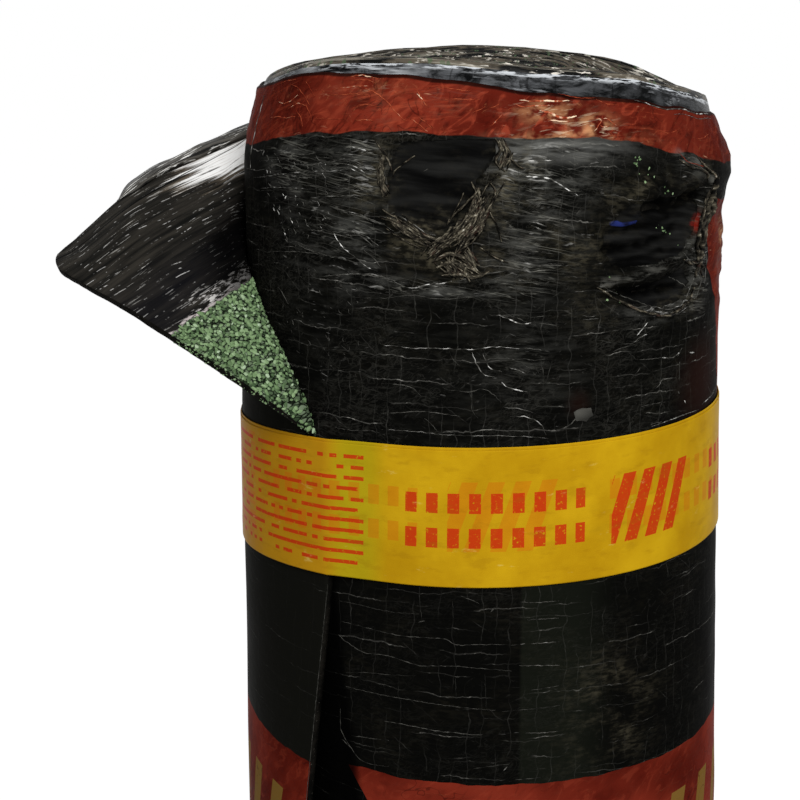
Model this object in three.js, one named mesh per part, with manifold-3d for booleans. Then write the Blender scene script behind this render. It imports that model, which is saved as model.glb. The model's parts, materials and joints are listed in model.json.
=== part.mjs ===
// A roll of mineral-surfaced roofing felt standing on its end, with its packing tape.
// Millimetres, +Z up. The roll stands on z = 0 and its winding axis is x = 0, y = 0.
// Angles are seen from above: 0 is the front (-Y), 90 is the right (+X), -90 the left.

import * as THREE from "three";
import { mergeVertices } from "three/addons/utils/BufferGeometryUtils.js";
import Module from "manifold-3d";

// ---- the felt sheet and its winding
const sheetWidth = 1000;          // height of the standing roll
const sheetThickness = 3.25;      // one turn, as wound
const rollRadius = 105;           // at the free end of the outermost turn
const boreRadius = 25;            // smallest radius of the hole left by the winding mandrel
const columnsPerTurn = 36;        // facets round one turn

// ---- the ends of the roll
const grooveDepth = 1.2;          // valley between two turns on an end
const footLand = 2.45;            // flat width that each turn stands on
const innerRise = 7.5;            // inner turns stand this much above the outer one
const riseTurns = 2;              // over this many turns
const rimSag = 11;                // top rim hangs at both sides against the middle
const rimLean = 6;                // and more so on the right than on the left

// ---- the free end of the outermost turn
const tailAngle = 126;            // part of the outermost turn that is laid on as the tail
const endAngle = -37;             // where the cut edge lies below the tape
const tailSeat = 0.6;             // the tail is sunk this deep into the turn under it
const tailRoot = 4;               // its root runs on by these degrees inside the turn before it
const tailTuck = 0.9;             // and this far under that turn's face
const tailColumns = 18;
const peelRows = 10;
const relaxRows = 3;
const relaxAngle = 42;            // below the tape this much of the tail springs open
const relaxRadius = 150;          // to this radius of curvature
const relaxDepth = 110;           // reached this far below the tape

// ---- the corner peeled off above the tape
const peelEndAngle = -43.7;       // cut edge where the peeling starts, on top of the tape
const peelAngle = 110.6;          // arc that is peeled off at the top edge
const peelPower = 1.24;           // how fast the peeled arc grows towards the top edge
const cornerTip = new THREE.Vector3(-177.6, -35.5, -74.8);   // from the axis and the top rim
const edgeBow = new THREE.Vector3(-5.5, -18.1, 10.7);        // bulge of the cut edge
const leaveAtTape = new THREE.Vector3(-0.40, -0.91, -0.08);  // run of the sheet at the cut edge
const leaveAtTip = new THREE.Vector3(-0.58, -0.57, -0.58);
const startPull = [1.31, 0.68];   // tangent lengths at the roll, at the tape and at the top
const endPull = [1.46, 0.70];     // and at the cut edge

// ---- the packing tape
const tapeWidth = 55;
const tapeThickness = 0.5;        // two windings
const tapeTopDepth = 137;         // its top edge below the top rim
const tapeTilt = 0.022;           // it climbs to the right
const tapeGap = 0.35;
const tapeColumns = 60;
const tapeBridge = 22;            // degrees over which it spans the step at the free end
const peelClear = 3;              // the peeling starts this far above the tape

const radians = THREE.MathUtils.degToRad;
const tapeDrop = tapeTilt * rollRadius * Math.sin(radians(-peelEndAngle));
const peelDepth = tapeTopDepth - peelClear;
const tapeBottomDepth = tapeTopDepth + tapeWidth + tapeDrop + peelClear;

const feltMaterial = new THREE.MeshStandardMaterial({ color: 0x161615, roughness: 0.4, metalness: 0 });
const tapeMaterial = new THREE.MeshStandardMaterial({ color: 0xc8a510, roughness: 0.35, metalness: 0 });

// Unit vector pointing outwards at an angle, and a point at a radius and a height.
function outward(angle) {
  return new THREE.Vector3(Math.sin(radians(angle)), -Math.cos(radians(angle)), 0);
}

function pointAt(angle, radius, z) {
  return outward(angle).multiplyScalar(radius).setZ(z);
}

// Outer face of the winding: it loses one thickness for each turn back from the free end.
function windingRadius(turnsBack) {
  return rollRadius - sheetThickness * turnsBack;
}

// Outer face of the outermost turn at an angle before the free end.
function outerRadius(angle) {
  return windingRadius((endAngle - angle) / 360);
}

// Height of the top end at a point, without its grooves.
function topHeight(point) {
  const across = point.x / rollRadius;
  const inside = (windingRadius(0) - Math.hypot(point.x, point.y)) / sheetThickness;
  const rise = innerRise * THREE.MathUtils.smoothstep(inside, 0.6, 0.6 + riseTurns);
  return sheetWidth + rise - rimSag * across * across - rimLean * across;
}

// ---- geometry helpers

function solidGeometry(points, faces) {
  const geometry = new THREE.BufferGeometry();
  geometry.setAttribute("position", new THREE.Float32BufferAttribute(points.flatMap((p) => p.toArray()), 3));
  geometry.setIndex(faces.flat());
  return mergeVertices(geometry, 1e-4);
}

// Quads between two rows of vertex numbers of equal length.
function bridge(rowA, rowB, closed) {
  const faces = [];
  const last = closed ? rowA.length : rowA.length - 1;
  for (let i = 0; i < last; i += 1) {
    const j = (i + 1) % rowA.length;
    faces.push([rowA[i], rowA[j], rowB[j]], [rowA[i], rowB[j], rowB[i]]);
  }
  return faces;
}

// A fan over a convex or nearly convex ring of vertex numbers.
function fan(ring) {
  return ring.slice(2).map((corner, i) => [ring[0], ring[i + 1], corner]);
}

// ---- the wound body: a spiral section carried once round, so that each turn runs into the next

// Section at one angle, from the bore up over the top end and back under the foot.
function windingSection(angle, turnsToEnd, turns) {
  const inner = windingRadius(turnsToEnd + turns);
  const top = [];
  const foot = [];
  for (let turn = 0; turn < turns; turn += 1) {
    const radius = inner + turn * sheetThickness;
    top.push([radius, -grooveDepth], [radius + sheetThickness / 2, 0]);
    const margin = (sheetThickness - footLand) / 2;
    foot.push([radius, grooveDepth], [radius + margin, 0], [radius + margin + footLand, 0]);
  }
  const outer = inner + turns * sheetThickness;
  top.push([outer, -grooveDepth]);
  foot.push([outer, grooveDepth]);
  const topPoints = top.map(([radius, drop]) => {
    const point = pointAt(angle, radius, 0);
    return point.setZ(topHeight(point) + drop);
  });
  const footPoints = foot.map(([radius, z]) => pointAt(angle, radius, z));
  return { top: topPoints, foot: footPoints };
}

function woundBody() {
  const bodyTurnsBack = tailAngle / 360;
  const bodyEndAngle = endAngle - tailAngle;
  const turns = Math.floor((windingRadius(bodyTurnsBack) - boreRadius) / sheetThickness) - 1;
  const points = [];
  const loops = [];
  for (let column = 0; column <= columnsPerTurn; column += 1) {
    const share = column / columnsPerTurn;
    const section = windingSection(bodyEndAngle + 360 * share, bodyTurnsBack + 1 - share, turns);
    const loop = [...section.top, ...section.foot.reverse()];
    loops.push(loop.map((point) => points.push(point) - 1));
  }
  const faces = [];
  for (let column = 0; column < columnsPerTurn; column += 1) {
    faces.push(...bridge(loops[column], loops[column + 1], true));
  }
  // the sheet's two cut faces: at the bore, and where the tail takes over
  const first = loops[0];
  const last = loops[columnsPerTurn];
  const rim = 2 * turns;
  faces.push(...fan([...first.slice(0, 3), ...first.slice(-4)].reverse()));
  faces.push(...fan(last.slice(rim - 2, rim + 5)));
  return solidGeometry(points, faces);
}

// ---- the tail of the sheet

// Angle of the cut edge at a depth below the top rim: it runs askew under the tape.
function cutEdgeAngle(depth) {
  const share = (depth - peelDepth) / (tapeBottomDepth - peelDepth);
  return THREE.MathUtils.lerp(peelEndAngle, endAngle, THREE.MathUtils.clamp(share, 0, 1));
}

// Above the tape the sheet leaves the roll along its tangent and swings out to the cut edge.
function peeledCurve(depth) {
  const share = 1 - depth / peelDepth;
  const peel = peelAngle * share ** peelPower;
  const start = peelEndAngle - peel;
  const length = rollRadius * radians(peel);
  const root = pointAt(start, outerRadius(start), -depth);
  const pinned = pointAt(peelEndAngle, outerRadius(peelEndAngle), -peelDepth);
  const bow = 4 * share * (1 - share);
  const edge = pinned.lerp(cornerTip, share).addScaledVector(edgeBow, bow);
  const leave = leaveAtTape.clone().lerp(leaveAtTip, share).normalize();
  const pullAtRoot = length * THREE.MathUtils.lerp(...startPull, share) / 3;
  const pullAtEdge = length * THREE.MathUtils.lerp(...endPull, share) / 3;
  const nearRoot = root.clone().addScaledVector(outward(start + 90), pullAtRoot);
  const nearEdge = edge.clone().addScaledVector(leave, -pullAtEdge);
  return { start, peel, curve: new THREE.CubicBezierCurve3(root, nearRoot, nearEdge, edge) };
}

// Below the tape the last stretch of the sheet springs open to a wider curve.
function relaxedPoint(angle, depth) {
  const hinge = cutEdgeAngle(depth) - relaxAngle;
  const opened = THREE.MathUtils.clamp((depth - tapeBottomDepth) / relaxDepth, 0, 1);
  if (angle <= hinge || opened === 0) return pointAt(angle, outerRadius(angle), -depth);
  const radius = THREE.MathUtils.lerp(rollRadius, relaxRadius, opened);
  const swing = hinge + (angle - hinge) * rollRadius / radius;
  const centre = outward(hinge).multiplyScalar(outerRadius(hinge) - radius);
  return centre.add(pointAt(swing, radius, -depth));
}

// Outer face of the sheet at an angle along the wound tail and a depth below the top rim.
function tailPoint(angle, depth) {
  if (depth >= peelDepth) return relaxedPoint(angle, depth);
  const { start, peel, curve } = peeledCurve(depth);
  if (angle <= start) return pointAt(angle, outerRadius(angle), -depth);
  return curve.getPoint((angle - start) / peel);
}

// Unit normal of that face, from its neighbours on the sheet.
function tailNormal(angle, depth) {
  const edge = cutEdgeAngle(depth);
  const ahead = Math.min(angle + 0.5, edge);
  const along = tailPoint(ahead, depth).sub(tailPoint(ahead - 1, depth));
  const down = tailPoint(angle, depth + 0.5).sub(tailPoint(angle, Math.max(depth - 0.5, 0)));
  return along.cross(down).negate().normalize();
}

// Both faces of the tail as one closed shell, its root tucked into the turn it grows from.
function tailShell() {
  const depths = [];
  for (let row = 0; row < peelRows; row += 1) depths.push(peelDepth * row / peelRows);
  depths.push(peelDepth, tapeBottomDepth);
  for (let row = 1; row <= relaxRows; row += 1) depths.push(tapeBottomDepth + relaxDepth * row / relaxRows);
  depths.push(sheetWidth);
  const root = endAngle - tailAngle;
  const points = [];
  const outerRows = [];
  const innerRows = [];
  for (const depth of depths) {
    const outerRow = [];
    const innerRow = [];
    for (let column = -1; column <= tailColumns; column += 1) {
      const share = Math.max(column, 0) / tailColumns;
      const angle = THREE.MathUtils.lerp(root, cutEdgeAngle(depth), share);
      const outer = tailPoint(angle, depth);
      const inner = outer.clone().addScaledVector(tailNormal(angle, depth), -sheetThickness - tailSeat);
      if (column < 0) {
        const tuck = pointAt(root - tailRoot, outerRadius(root) - tailTuck, -depth);
        outer.copy(tuck);
        inner.copy(tuck).addScaledVector(outward(root - tailRoot), -sheetThickness);
      }
      outerRow.push(points.push(outer.setZ(outer.z + sheetWidth)) - 1);
      innerRow.push(points.push(inner.setZ(inner.z + sheetWidth)) - 1);
    }
    outerRows.push(outerRow);
    innerRows.push(innerRow);
  }
  const faces = [];
  for (let row = 0; row < depths.length - 1; row += 1) {
    faces.push(...bridge(outerRows[row + 1], outerRows[row], false));
    faces.push(...bridge(innerRows[row], innerRows[row + 1], false));
  }
  const lastRow = depths.length - 1;
  faces.push(...bridge(outerRows[0], innerRows[0], false));
  faces.push(...bridge(innerRows[lastRow], outerRows[lastRow], false));
  const column = (rows, at) => rows.map((row) => row.at(at));
  faces.push(...bridge(column(innerRows, 0), column(outerRows, 0), false));
  faces.push(...bridge(column(outerRows, -1), column(innerRows, -1), false));
  return solidGeometry(points, faces);
}

// ---- the tape

// Inner radius of the tape at an angle past the free end: it spans the step there.
function tapeRadius(past) {
  const under = windingRadius(1 - past / 360);
  const span = windingRadius(1 - tapeBridge / 360);
  return past < tapeBridge ? THREE.MathUtils.lerp(rollRadius, span, past / tapeBridge) : under;
}

function tapeBand() {
  const points = [];
  const rows = [];
  for (let column = 0; column < tapeColumns; column += 1) {
    const past = 360 * column / tapeColumns;
    const inner = (tapeRadius(past) + tapeGap) / Math.cos(Math.PI / tapeColumns);
    const corners = [[inner, 0], [inner + tapeThickness, 0], [inner + tapeThickness, tapeWidth], [inner, tapeWidth]];
    rows.push(corners.map(([radius, depth]) => {
      const point = pointAt(endAngle + past, radius, sheetWidth - tapeTopDepth - depth);
      point.z += tapeTilt * point.x;
      return points.push(point) - 1;
    }));
  }
  const faces = rows.flatMap((row, i) => bridge(row, rows[(i + 1) % tapeColumns], true));
  return solidGeometry(points, faces);
}

// ---- joining

const wasm = await Module();
wasm.setup();

function toManifold(geometry) {
  const vertProperties = new Float32Array(geometry.attributes.position.array);
  const triVerts = new Uint32Array(geometry.index.array);
  return new wasm.Manifold(new wasm.Mesh({ numProp: 3, vertProperties, triVerts }));
}

function toGeometry(solid) {
  const mesh = solid.getMesh();
  const geometry = new THREE.BufferGeometry();
  geometry.setAttribute("position", new THREE.BufferAttribute(new Float32Array(mesh.vertProperties), 3));
  geometry.setIndex(new THREE.BufferAttribute(new Uint32Array(mesh.triVerts), 1));
  geometry.computeVertexNormals();
  return geometry;
}

function namedMesh(name, geometry, material) {
  const mesh = new THREE.Mesh(geometry, material);
  mesh.name = name;
  return mesh;
}

const roll = toManifold(woundBody()).add(toManifold(tailShell()));
const group = new THREE.Group();
group.add(namedMesh("felt_roll", toGeometry(roll), feltMaterial));
group.add(namedMesh("packing_tape", tapeBand(), tapeMaterial));

// the origin goes to the middle of the foot of the whole object's box
const middle = new THREE.Box3().setFromObject(group).getCenter(new THREE.Vector3());
group.position.set(-middle.x, -middle.y, 0);

export default group;
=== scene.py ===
"""A roll of mineral-surfaced roofing felt on its end, tied with packing tape: its looks.

Metres, +Z up. Angles are in degrees seen from above: 0 is the front (-Y), 90 the right (+X).
Depths are measured down the sheet from its top edge."""
import functools
import json
import math
import random

import bmesh
import bpy
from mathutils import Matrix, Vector, noise


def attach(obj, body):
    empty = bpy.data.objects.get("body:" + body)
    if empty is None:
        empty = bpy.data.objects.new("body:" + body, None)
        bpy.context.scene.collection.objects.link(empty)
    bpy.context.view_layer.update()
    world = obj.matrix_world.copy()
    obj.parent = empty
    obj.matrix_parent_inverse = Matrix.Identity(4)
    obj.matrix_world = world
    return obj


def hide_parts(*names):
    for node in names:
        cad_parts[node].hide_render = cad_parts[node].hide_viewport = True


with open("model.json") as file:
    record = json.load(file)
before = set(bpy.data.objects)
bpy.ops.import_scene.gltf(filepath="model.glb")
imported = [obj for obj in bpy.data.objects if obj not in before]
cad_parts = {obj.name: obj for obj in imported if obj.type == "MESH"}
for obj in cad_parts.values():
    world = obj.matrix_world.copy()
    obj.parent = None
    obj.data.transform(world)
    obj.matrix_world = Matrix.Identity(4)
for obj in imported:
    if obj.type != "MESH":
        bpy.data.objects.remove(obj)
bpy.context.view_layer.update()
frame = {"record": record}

MM = 0.001

# ---- the roll, as in the solids
SHEET_WIDTH = 1.0
THICKNESS = 3.25 * MM
ROLL_RADIUS = 0.105
BORE_RADIUS = 26.5 * MM
END_ANGLE = -37.0            # the cut edge below the tape
TAIL_ANGLE = 126.0           # the outermost stretch of the sheet, as a piece of its own
TAIL_START = END_ANGLE - TAIL_ANGLE
TAIL_SHEET = 2.9 * MM        # its thickness in the scene, so that it clears the turn below
MOUNT_RADIUS = 0.1002        # the base mount lies this far in front of the winding axis
FOOT = frame["record"]["mounts"][0]["pos_m"]
AXIS = Vector((FOOT[0], FOOT[1] + MOUNT_RADIUS, 0.0))

# ---- the ends of the roll: tables by angle, in mm
OUTER_RIM = [(-180, 5), (-135, 2), (-100, -5), (-80, -5.5), (-61, -2), (-52, 1.5), (-44, 2.5), (-23, 2.8),
             (-8, 0.5), (0, -0.5), (5, -4), (17, -5), (31, -6.5), (38, -9), (47, -10.5), (54, -12.5),
             (60, -13.8), (75, -15.8), (90, -16.5), (121, -12), (146, -3), (165, 3), (180, 5)]
INNER_RIM = [(-180, 8), (-159, 7.3), (-138, 4.5), (-127, 3), (-100, -1.4), (-85, -4), (-60, 2.5),
             (-50, 5.5), (-37, 8.5), (-16, 8), (-3, 7.2), (12, 4.5), (33, 2.8), (50, -3.5),
             (68, -8.5), (90, -9.6), (121, -4.7), (134, 1.5), (146, 4.6), (155, 6.2), (165, 7.5),
             (180, 8)]
SHOULDER = [(-180, 3), (-120, 4), (-100, 6.5), (-80, 7.4), (-60, 6), (-40, 3.5), (-15, 2),
            (15, 2.5), (40, 4), (60, 5.5), (75, 6.5), (90, 7), (120, 5), (150, 3.5), (180, 3)]
STRIPE = [(-180, 20), (-90, 24), (-62, 24), (-40, 22.5), (-28, 21), (-18, 20), (-2, 19),
          (10, 15.5), (25, 14.5), (31, 16), (45, 17), (55, 18), (70, 20), (180, 20)]
SHOULDER_DEPTH = 32 * MM     # the rim is drawn in above this depth
SAG_DEPTH = (0.025, 0.095)   # the hang of the rim fades out between these depths
TURN_THICKNESS = 2.5 * MM    # of a turn's edge, the rest of the pitch is a gap
EDGE_DEPTH = 18 * MM         # how far down the turns are modelled one by one
LOOSENED = (5.0, 4.0)        # from the tape down the roll widens by this, and more on the right

# ---- the peeled corner
PEEL_END_ANGLE = -42.6       # the corner leaves the tape here
PEEL_ANGLE = 110.6           # how far back it is peeled at the top edge
PEEL_POWER = 1.38            # and how fast that falls off with depth
PEEL_DEPTH = 0.1385          # down to the tape
CORNER_TIP = Vector((-181.6, -35.5, -76.4)) * MM
EDGE_BOW = Vector((-5.5, -18.1, 10.7)) * MM  # of the free edge off a straight line
LEAVE_AT_TAPE = Vector((-0.40, -0.91, -0.08))  # which way the sheet runs at its edge
LEAVE_AT_TIP = Vector((-0.58, -0.57, -0.58))
CORNER_ROUND = 17 * MM       # of the sheet's corner
NOSE = 4.5 * MM              # its corner sags a little
DROOP = 13.5 * MM            # the peeled edge hangs near the roll
START_PULL = (1.31, 0.68)    # stiffness at the root, at the tape and at the top
END_PULL = (1.46, 0.70)      # and at the free edge
SELVEDGE = 0.077             # strip along the top edge without chips, film on it
SELVEDGE_SLOPE = 0.16        # it looks wider towards the roll
SELVEDGE_FROM = -0.086
SELVEDGE_REACH = 0.055       # and stays as wide beyond this

# ---- the loose end below the tape
RELAX_ANGLE = 42.0           # the stretch that stands off the roll
TAIL_LEAN = 8.5 * MM         # its cut edge draws back by this below the tape
RELAX_RADIUS = 0.150         # to this radius
RELAX_DEPTH = 0.110          # reached this far below the tape

# ---- the tape
TAPE_WIDTH = 0.055
TAPE_TOP = 0.137
TAPE_TILT = 0.022            # it rises to the right
TAPE_GAP = 0.55 * MM         # off the sheet
TAPE_FILM = 0.22 * MM
TAPE_BRIDGE = 14.0           # degrees over which it spans the cut edge's step
TAPE_SHIFT = 1.2 * MM        # the second winding lies this much lower than the first
TAPE_BOTTOM = TAPE_TOP + TAPE_WIDTH + 4.6 * MM

# ---- the camera and the light
EYE = Vector((-0.035, -0.700, 0.0282))   # from the axis at the height of the top edge
PITCH = 13.784
LENS_PIXELS = 1620.1
IMAGE_PIXELS = 800

# ---- worn places, and where light and shade are painted, by angle and by level in mm below the plain top of the roll

def read_rows(text):
    """Rows of two numbers and a path of angle,level points."""
    rows = []
    for line in text.strip().split("\n"):
        first, second, *spots = line.split()
        path = [tuple(float(part) for part in spot.split(",")) for spot in spots]
        rows.append((float(first), float(second), path))
    return rows


UPPER_TEAR = [(-20, 22), (-22, 28), (-23, 36), (-23, 45), (-21, 50), (-17, 52), (-13, 55), (-10, 53),
              (-7, 47), (-4, 41), (-4, 36), (-2, 32), (0, 26), (0, 20), (-10, 21)]
SIDE_TEAR = [(30, 47), (38, 45), (46, 45), (54, 43), (55, 50), (53, 60), (47, 66), (38, 70), (27, 70),
             (24, 62), (25, 53)]
LOWER_TEAR = [(27, 77), (38, 77), (48, 73), (51, 79), (47, 86), (40, 87), (32, 84)]
TEARS = (UPPER_TEAR, SIDE_TEAR, LOWER_TEAR)
TEAR_DEPTH = 1.1 * MM
# folds and furrows: half width and height in mm, and the path
FOLDS = read_rows("""
1.3 .9  -20,22 -22.3,30 -23.7,38 -23.7,46 -21.5,51.5 -17,54 -12,57.5
1.3 .8  .5,20 .5,26 -1.5,32 -3.5,37
1.2 1  -32,72 -25,72 -18,74 -14,76 -9,74 -2,70 3,68 9,66
1 .8  -23,78 -14,77.5 -10,75 -8,73
1 .6  -36,47 -32,49 -27,51 -23,57 -18,60
1 .5  -36,56 -32,58 -28,59 -25,64
1 .6  -34,62 -29,66 -25,71
.9 .5  -27,22 -24,28 -23,34
.8 .8  1,28 3,28 5,30 6,31
.8 .5  3,30 5,38 5,46
.8 .7  8,33 13,36 18,41
3.4 2.2  44,29 50,32 56,37 57,42
2.6 -4.6  36,48 42,48 48,47.5 54,46
1.7 -2.2  24,56 31,56.5 38,55 44,53
1.8 .9  25,51.5 33,51.5 41,51
1.9 -2.2  24,62.5 31,63 38,62 46,57.5
1.6 .9  26,59 34,59.5 42,57
1.7 -1.9  26,69 34,68.5 42,65.5
2.7 2.9  23,74.5 32,74 39,72 44,70 48,65
2.3 -2.8  27,79.5 36,80.5 47,80
1.3 1.4  20,74 27,80 32,86 42,90 50,86
1.4 1.7  58,38 59.5,51 57,60 57,69 54,78
.9 .6  1,85 7,89
1.5 .5  -4,19 8,17 20,19
.9 .4  10,95 13,104 17,112 16,120
.9 .4  -3,88 3,92 9,90 15,95
""")
# soft swellings: centre, half widths (degrees, mm) and height in mm
SWELLS = [
    ((80, 34), (19, 13), 3.6),
    ((76, 56), (16, 7), -1.2),
    ((46, 38), (9, 7), 1.6),
    ((40, 58), (12, 11), -1.8),
    ((-13, 38), (9, 13), -1.0),
    ((-38, 34), (10, 14), 0.8),
    ((14, 55), (9, 16), 0.9),
    ((40, 96), (18, 6), 1.2),
]
# wads and strands of torn film, the wads first: width and lift in mm, and the path
WADS = 8
STRANDS = read_rows("""
5.4 1  -3.8,38 -3.4,44.5 -5,50 -7,53 -9.2,56.5 -11.4,59 -13.6,63
4.4 1.2  -2.6,43 -2.4,48 -4,53 -6,56.5 -7,60.5 -8,63.5
4.2 .8  -11.2,66 -9.6,68 -8.2,69.5 -5.4,71
3.8 .9  -4,68.5 -4.6,65.5 -6.2,61.5
4.2 1  -9.6,65 -7.2,66.5 -4.8,69.5
3.4 .5  1,20 2,25 1,31
3.6 .2  -24,27 -24.4,34 -23.4,42
3.4 .25  -23,50 -18.4,54.5 -13,58
1.4 .7  57.2,35.5 58.6,42.5 57.4,48 59.4,53.5 56.8,58.5 56.8,65.5 55.4,72 56.4,78
.9 .9  56.2,33 59.6,41 59,49 57.2,55 58.6,61 57.6,70 56.6,76
.8 .6  59.4,38 57.2,45 58.6,52 60.2,58 57.4,64 56,73
1.5 2  -3.4,39 -4.2,45 -6,50 -8,54 -11,59 -14,65
1.3 2.6  -1,40 -3,46 -4,50 -6,56 -8,62 -9,66
.9 1.8  -3,38 -6,44 -9,49 -10,52
1.1 2  -4,46 -5,51 -8,56 -12,59 -14,63
1.2 1.6  -2,41 -5,48 -8,54 -10,59 -13,66
1.6 1.2  -5,36 -4,40 -5,46 -7,53 -11,60
1 1.3  -1,36 0,40 -2,48 -5,55 -7,60
.8 1.4  2,36 0,42 -2,50 -4,57 -9,63
1.8 1.6  -13,66 -10,63 -6,64 -3,67
2.2 1.8  -12,68 -9,66 -5,68 -3,70
1.8 1.3  -11,71 -7,70 -4,71 -1,69
1.4 2  -10,64 -8,68 -8,72
1.3 1.6  -5,65 -6,69 -5,73
1.2 .8  0,20 1,24 0,28 2,32
1.4 .9  1,21 3,26 2,30
.7 1.2  1,28 3,27.5 5,30 6,31
.4 .7  -17,27 -21,32 -22,35
.4 .5  -26,21 -23,28 -22,33
1.2 2.6  58,36 58,44 59,51 57,60
1.6 2.2  59,40 58,52 56,60 56,69 53,78
.9 1.8  57,50 55,58 54,66 55,74
1.2 1.4  48,70 51,72 55,73 58,79
.8 1.1  22,76 27,81 33,86.5 40,90
1 1.3  35,88 42,90.5 49,87 53,82
.8 .9  44,30 48,34 53,36 56,40
.9 1  52,30 55,35 60,38
.7 .7  -24,47 -20,51 -15.5,55 -11,58.5
.6 .5  -25,50 -20.5,52.5 -16,57 -12,61
.8 .6  -22,52 -19,56 -14,60 -10.5,62
.5 .9  -20,49 -17,53 -14,56.5 -9,60
.5 .4  -23.5,54 -19,58.5 -15,61.5
.4 2.2  .5,33 -2,38 -4,45
.4 1.8  -6.5,40 -8,46 -9.5,51
.4 1.1  -1,47 .5,52 1.5,58
.4 .9  -3,60 .5,64 3,66
""")
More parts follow.
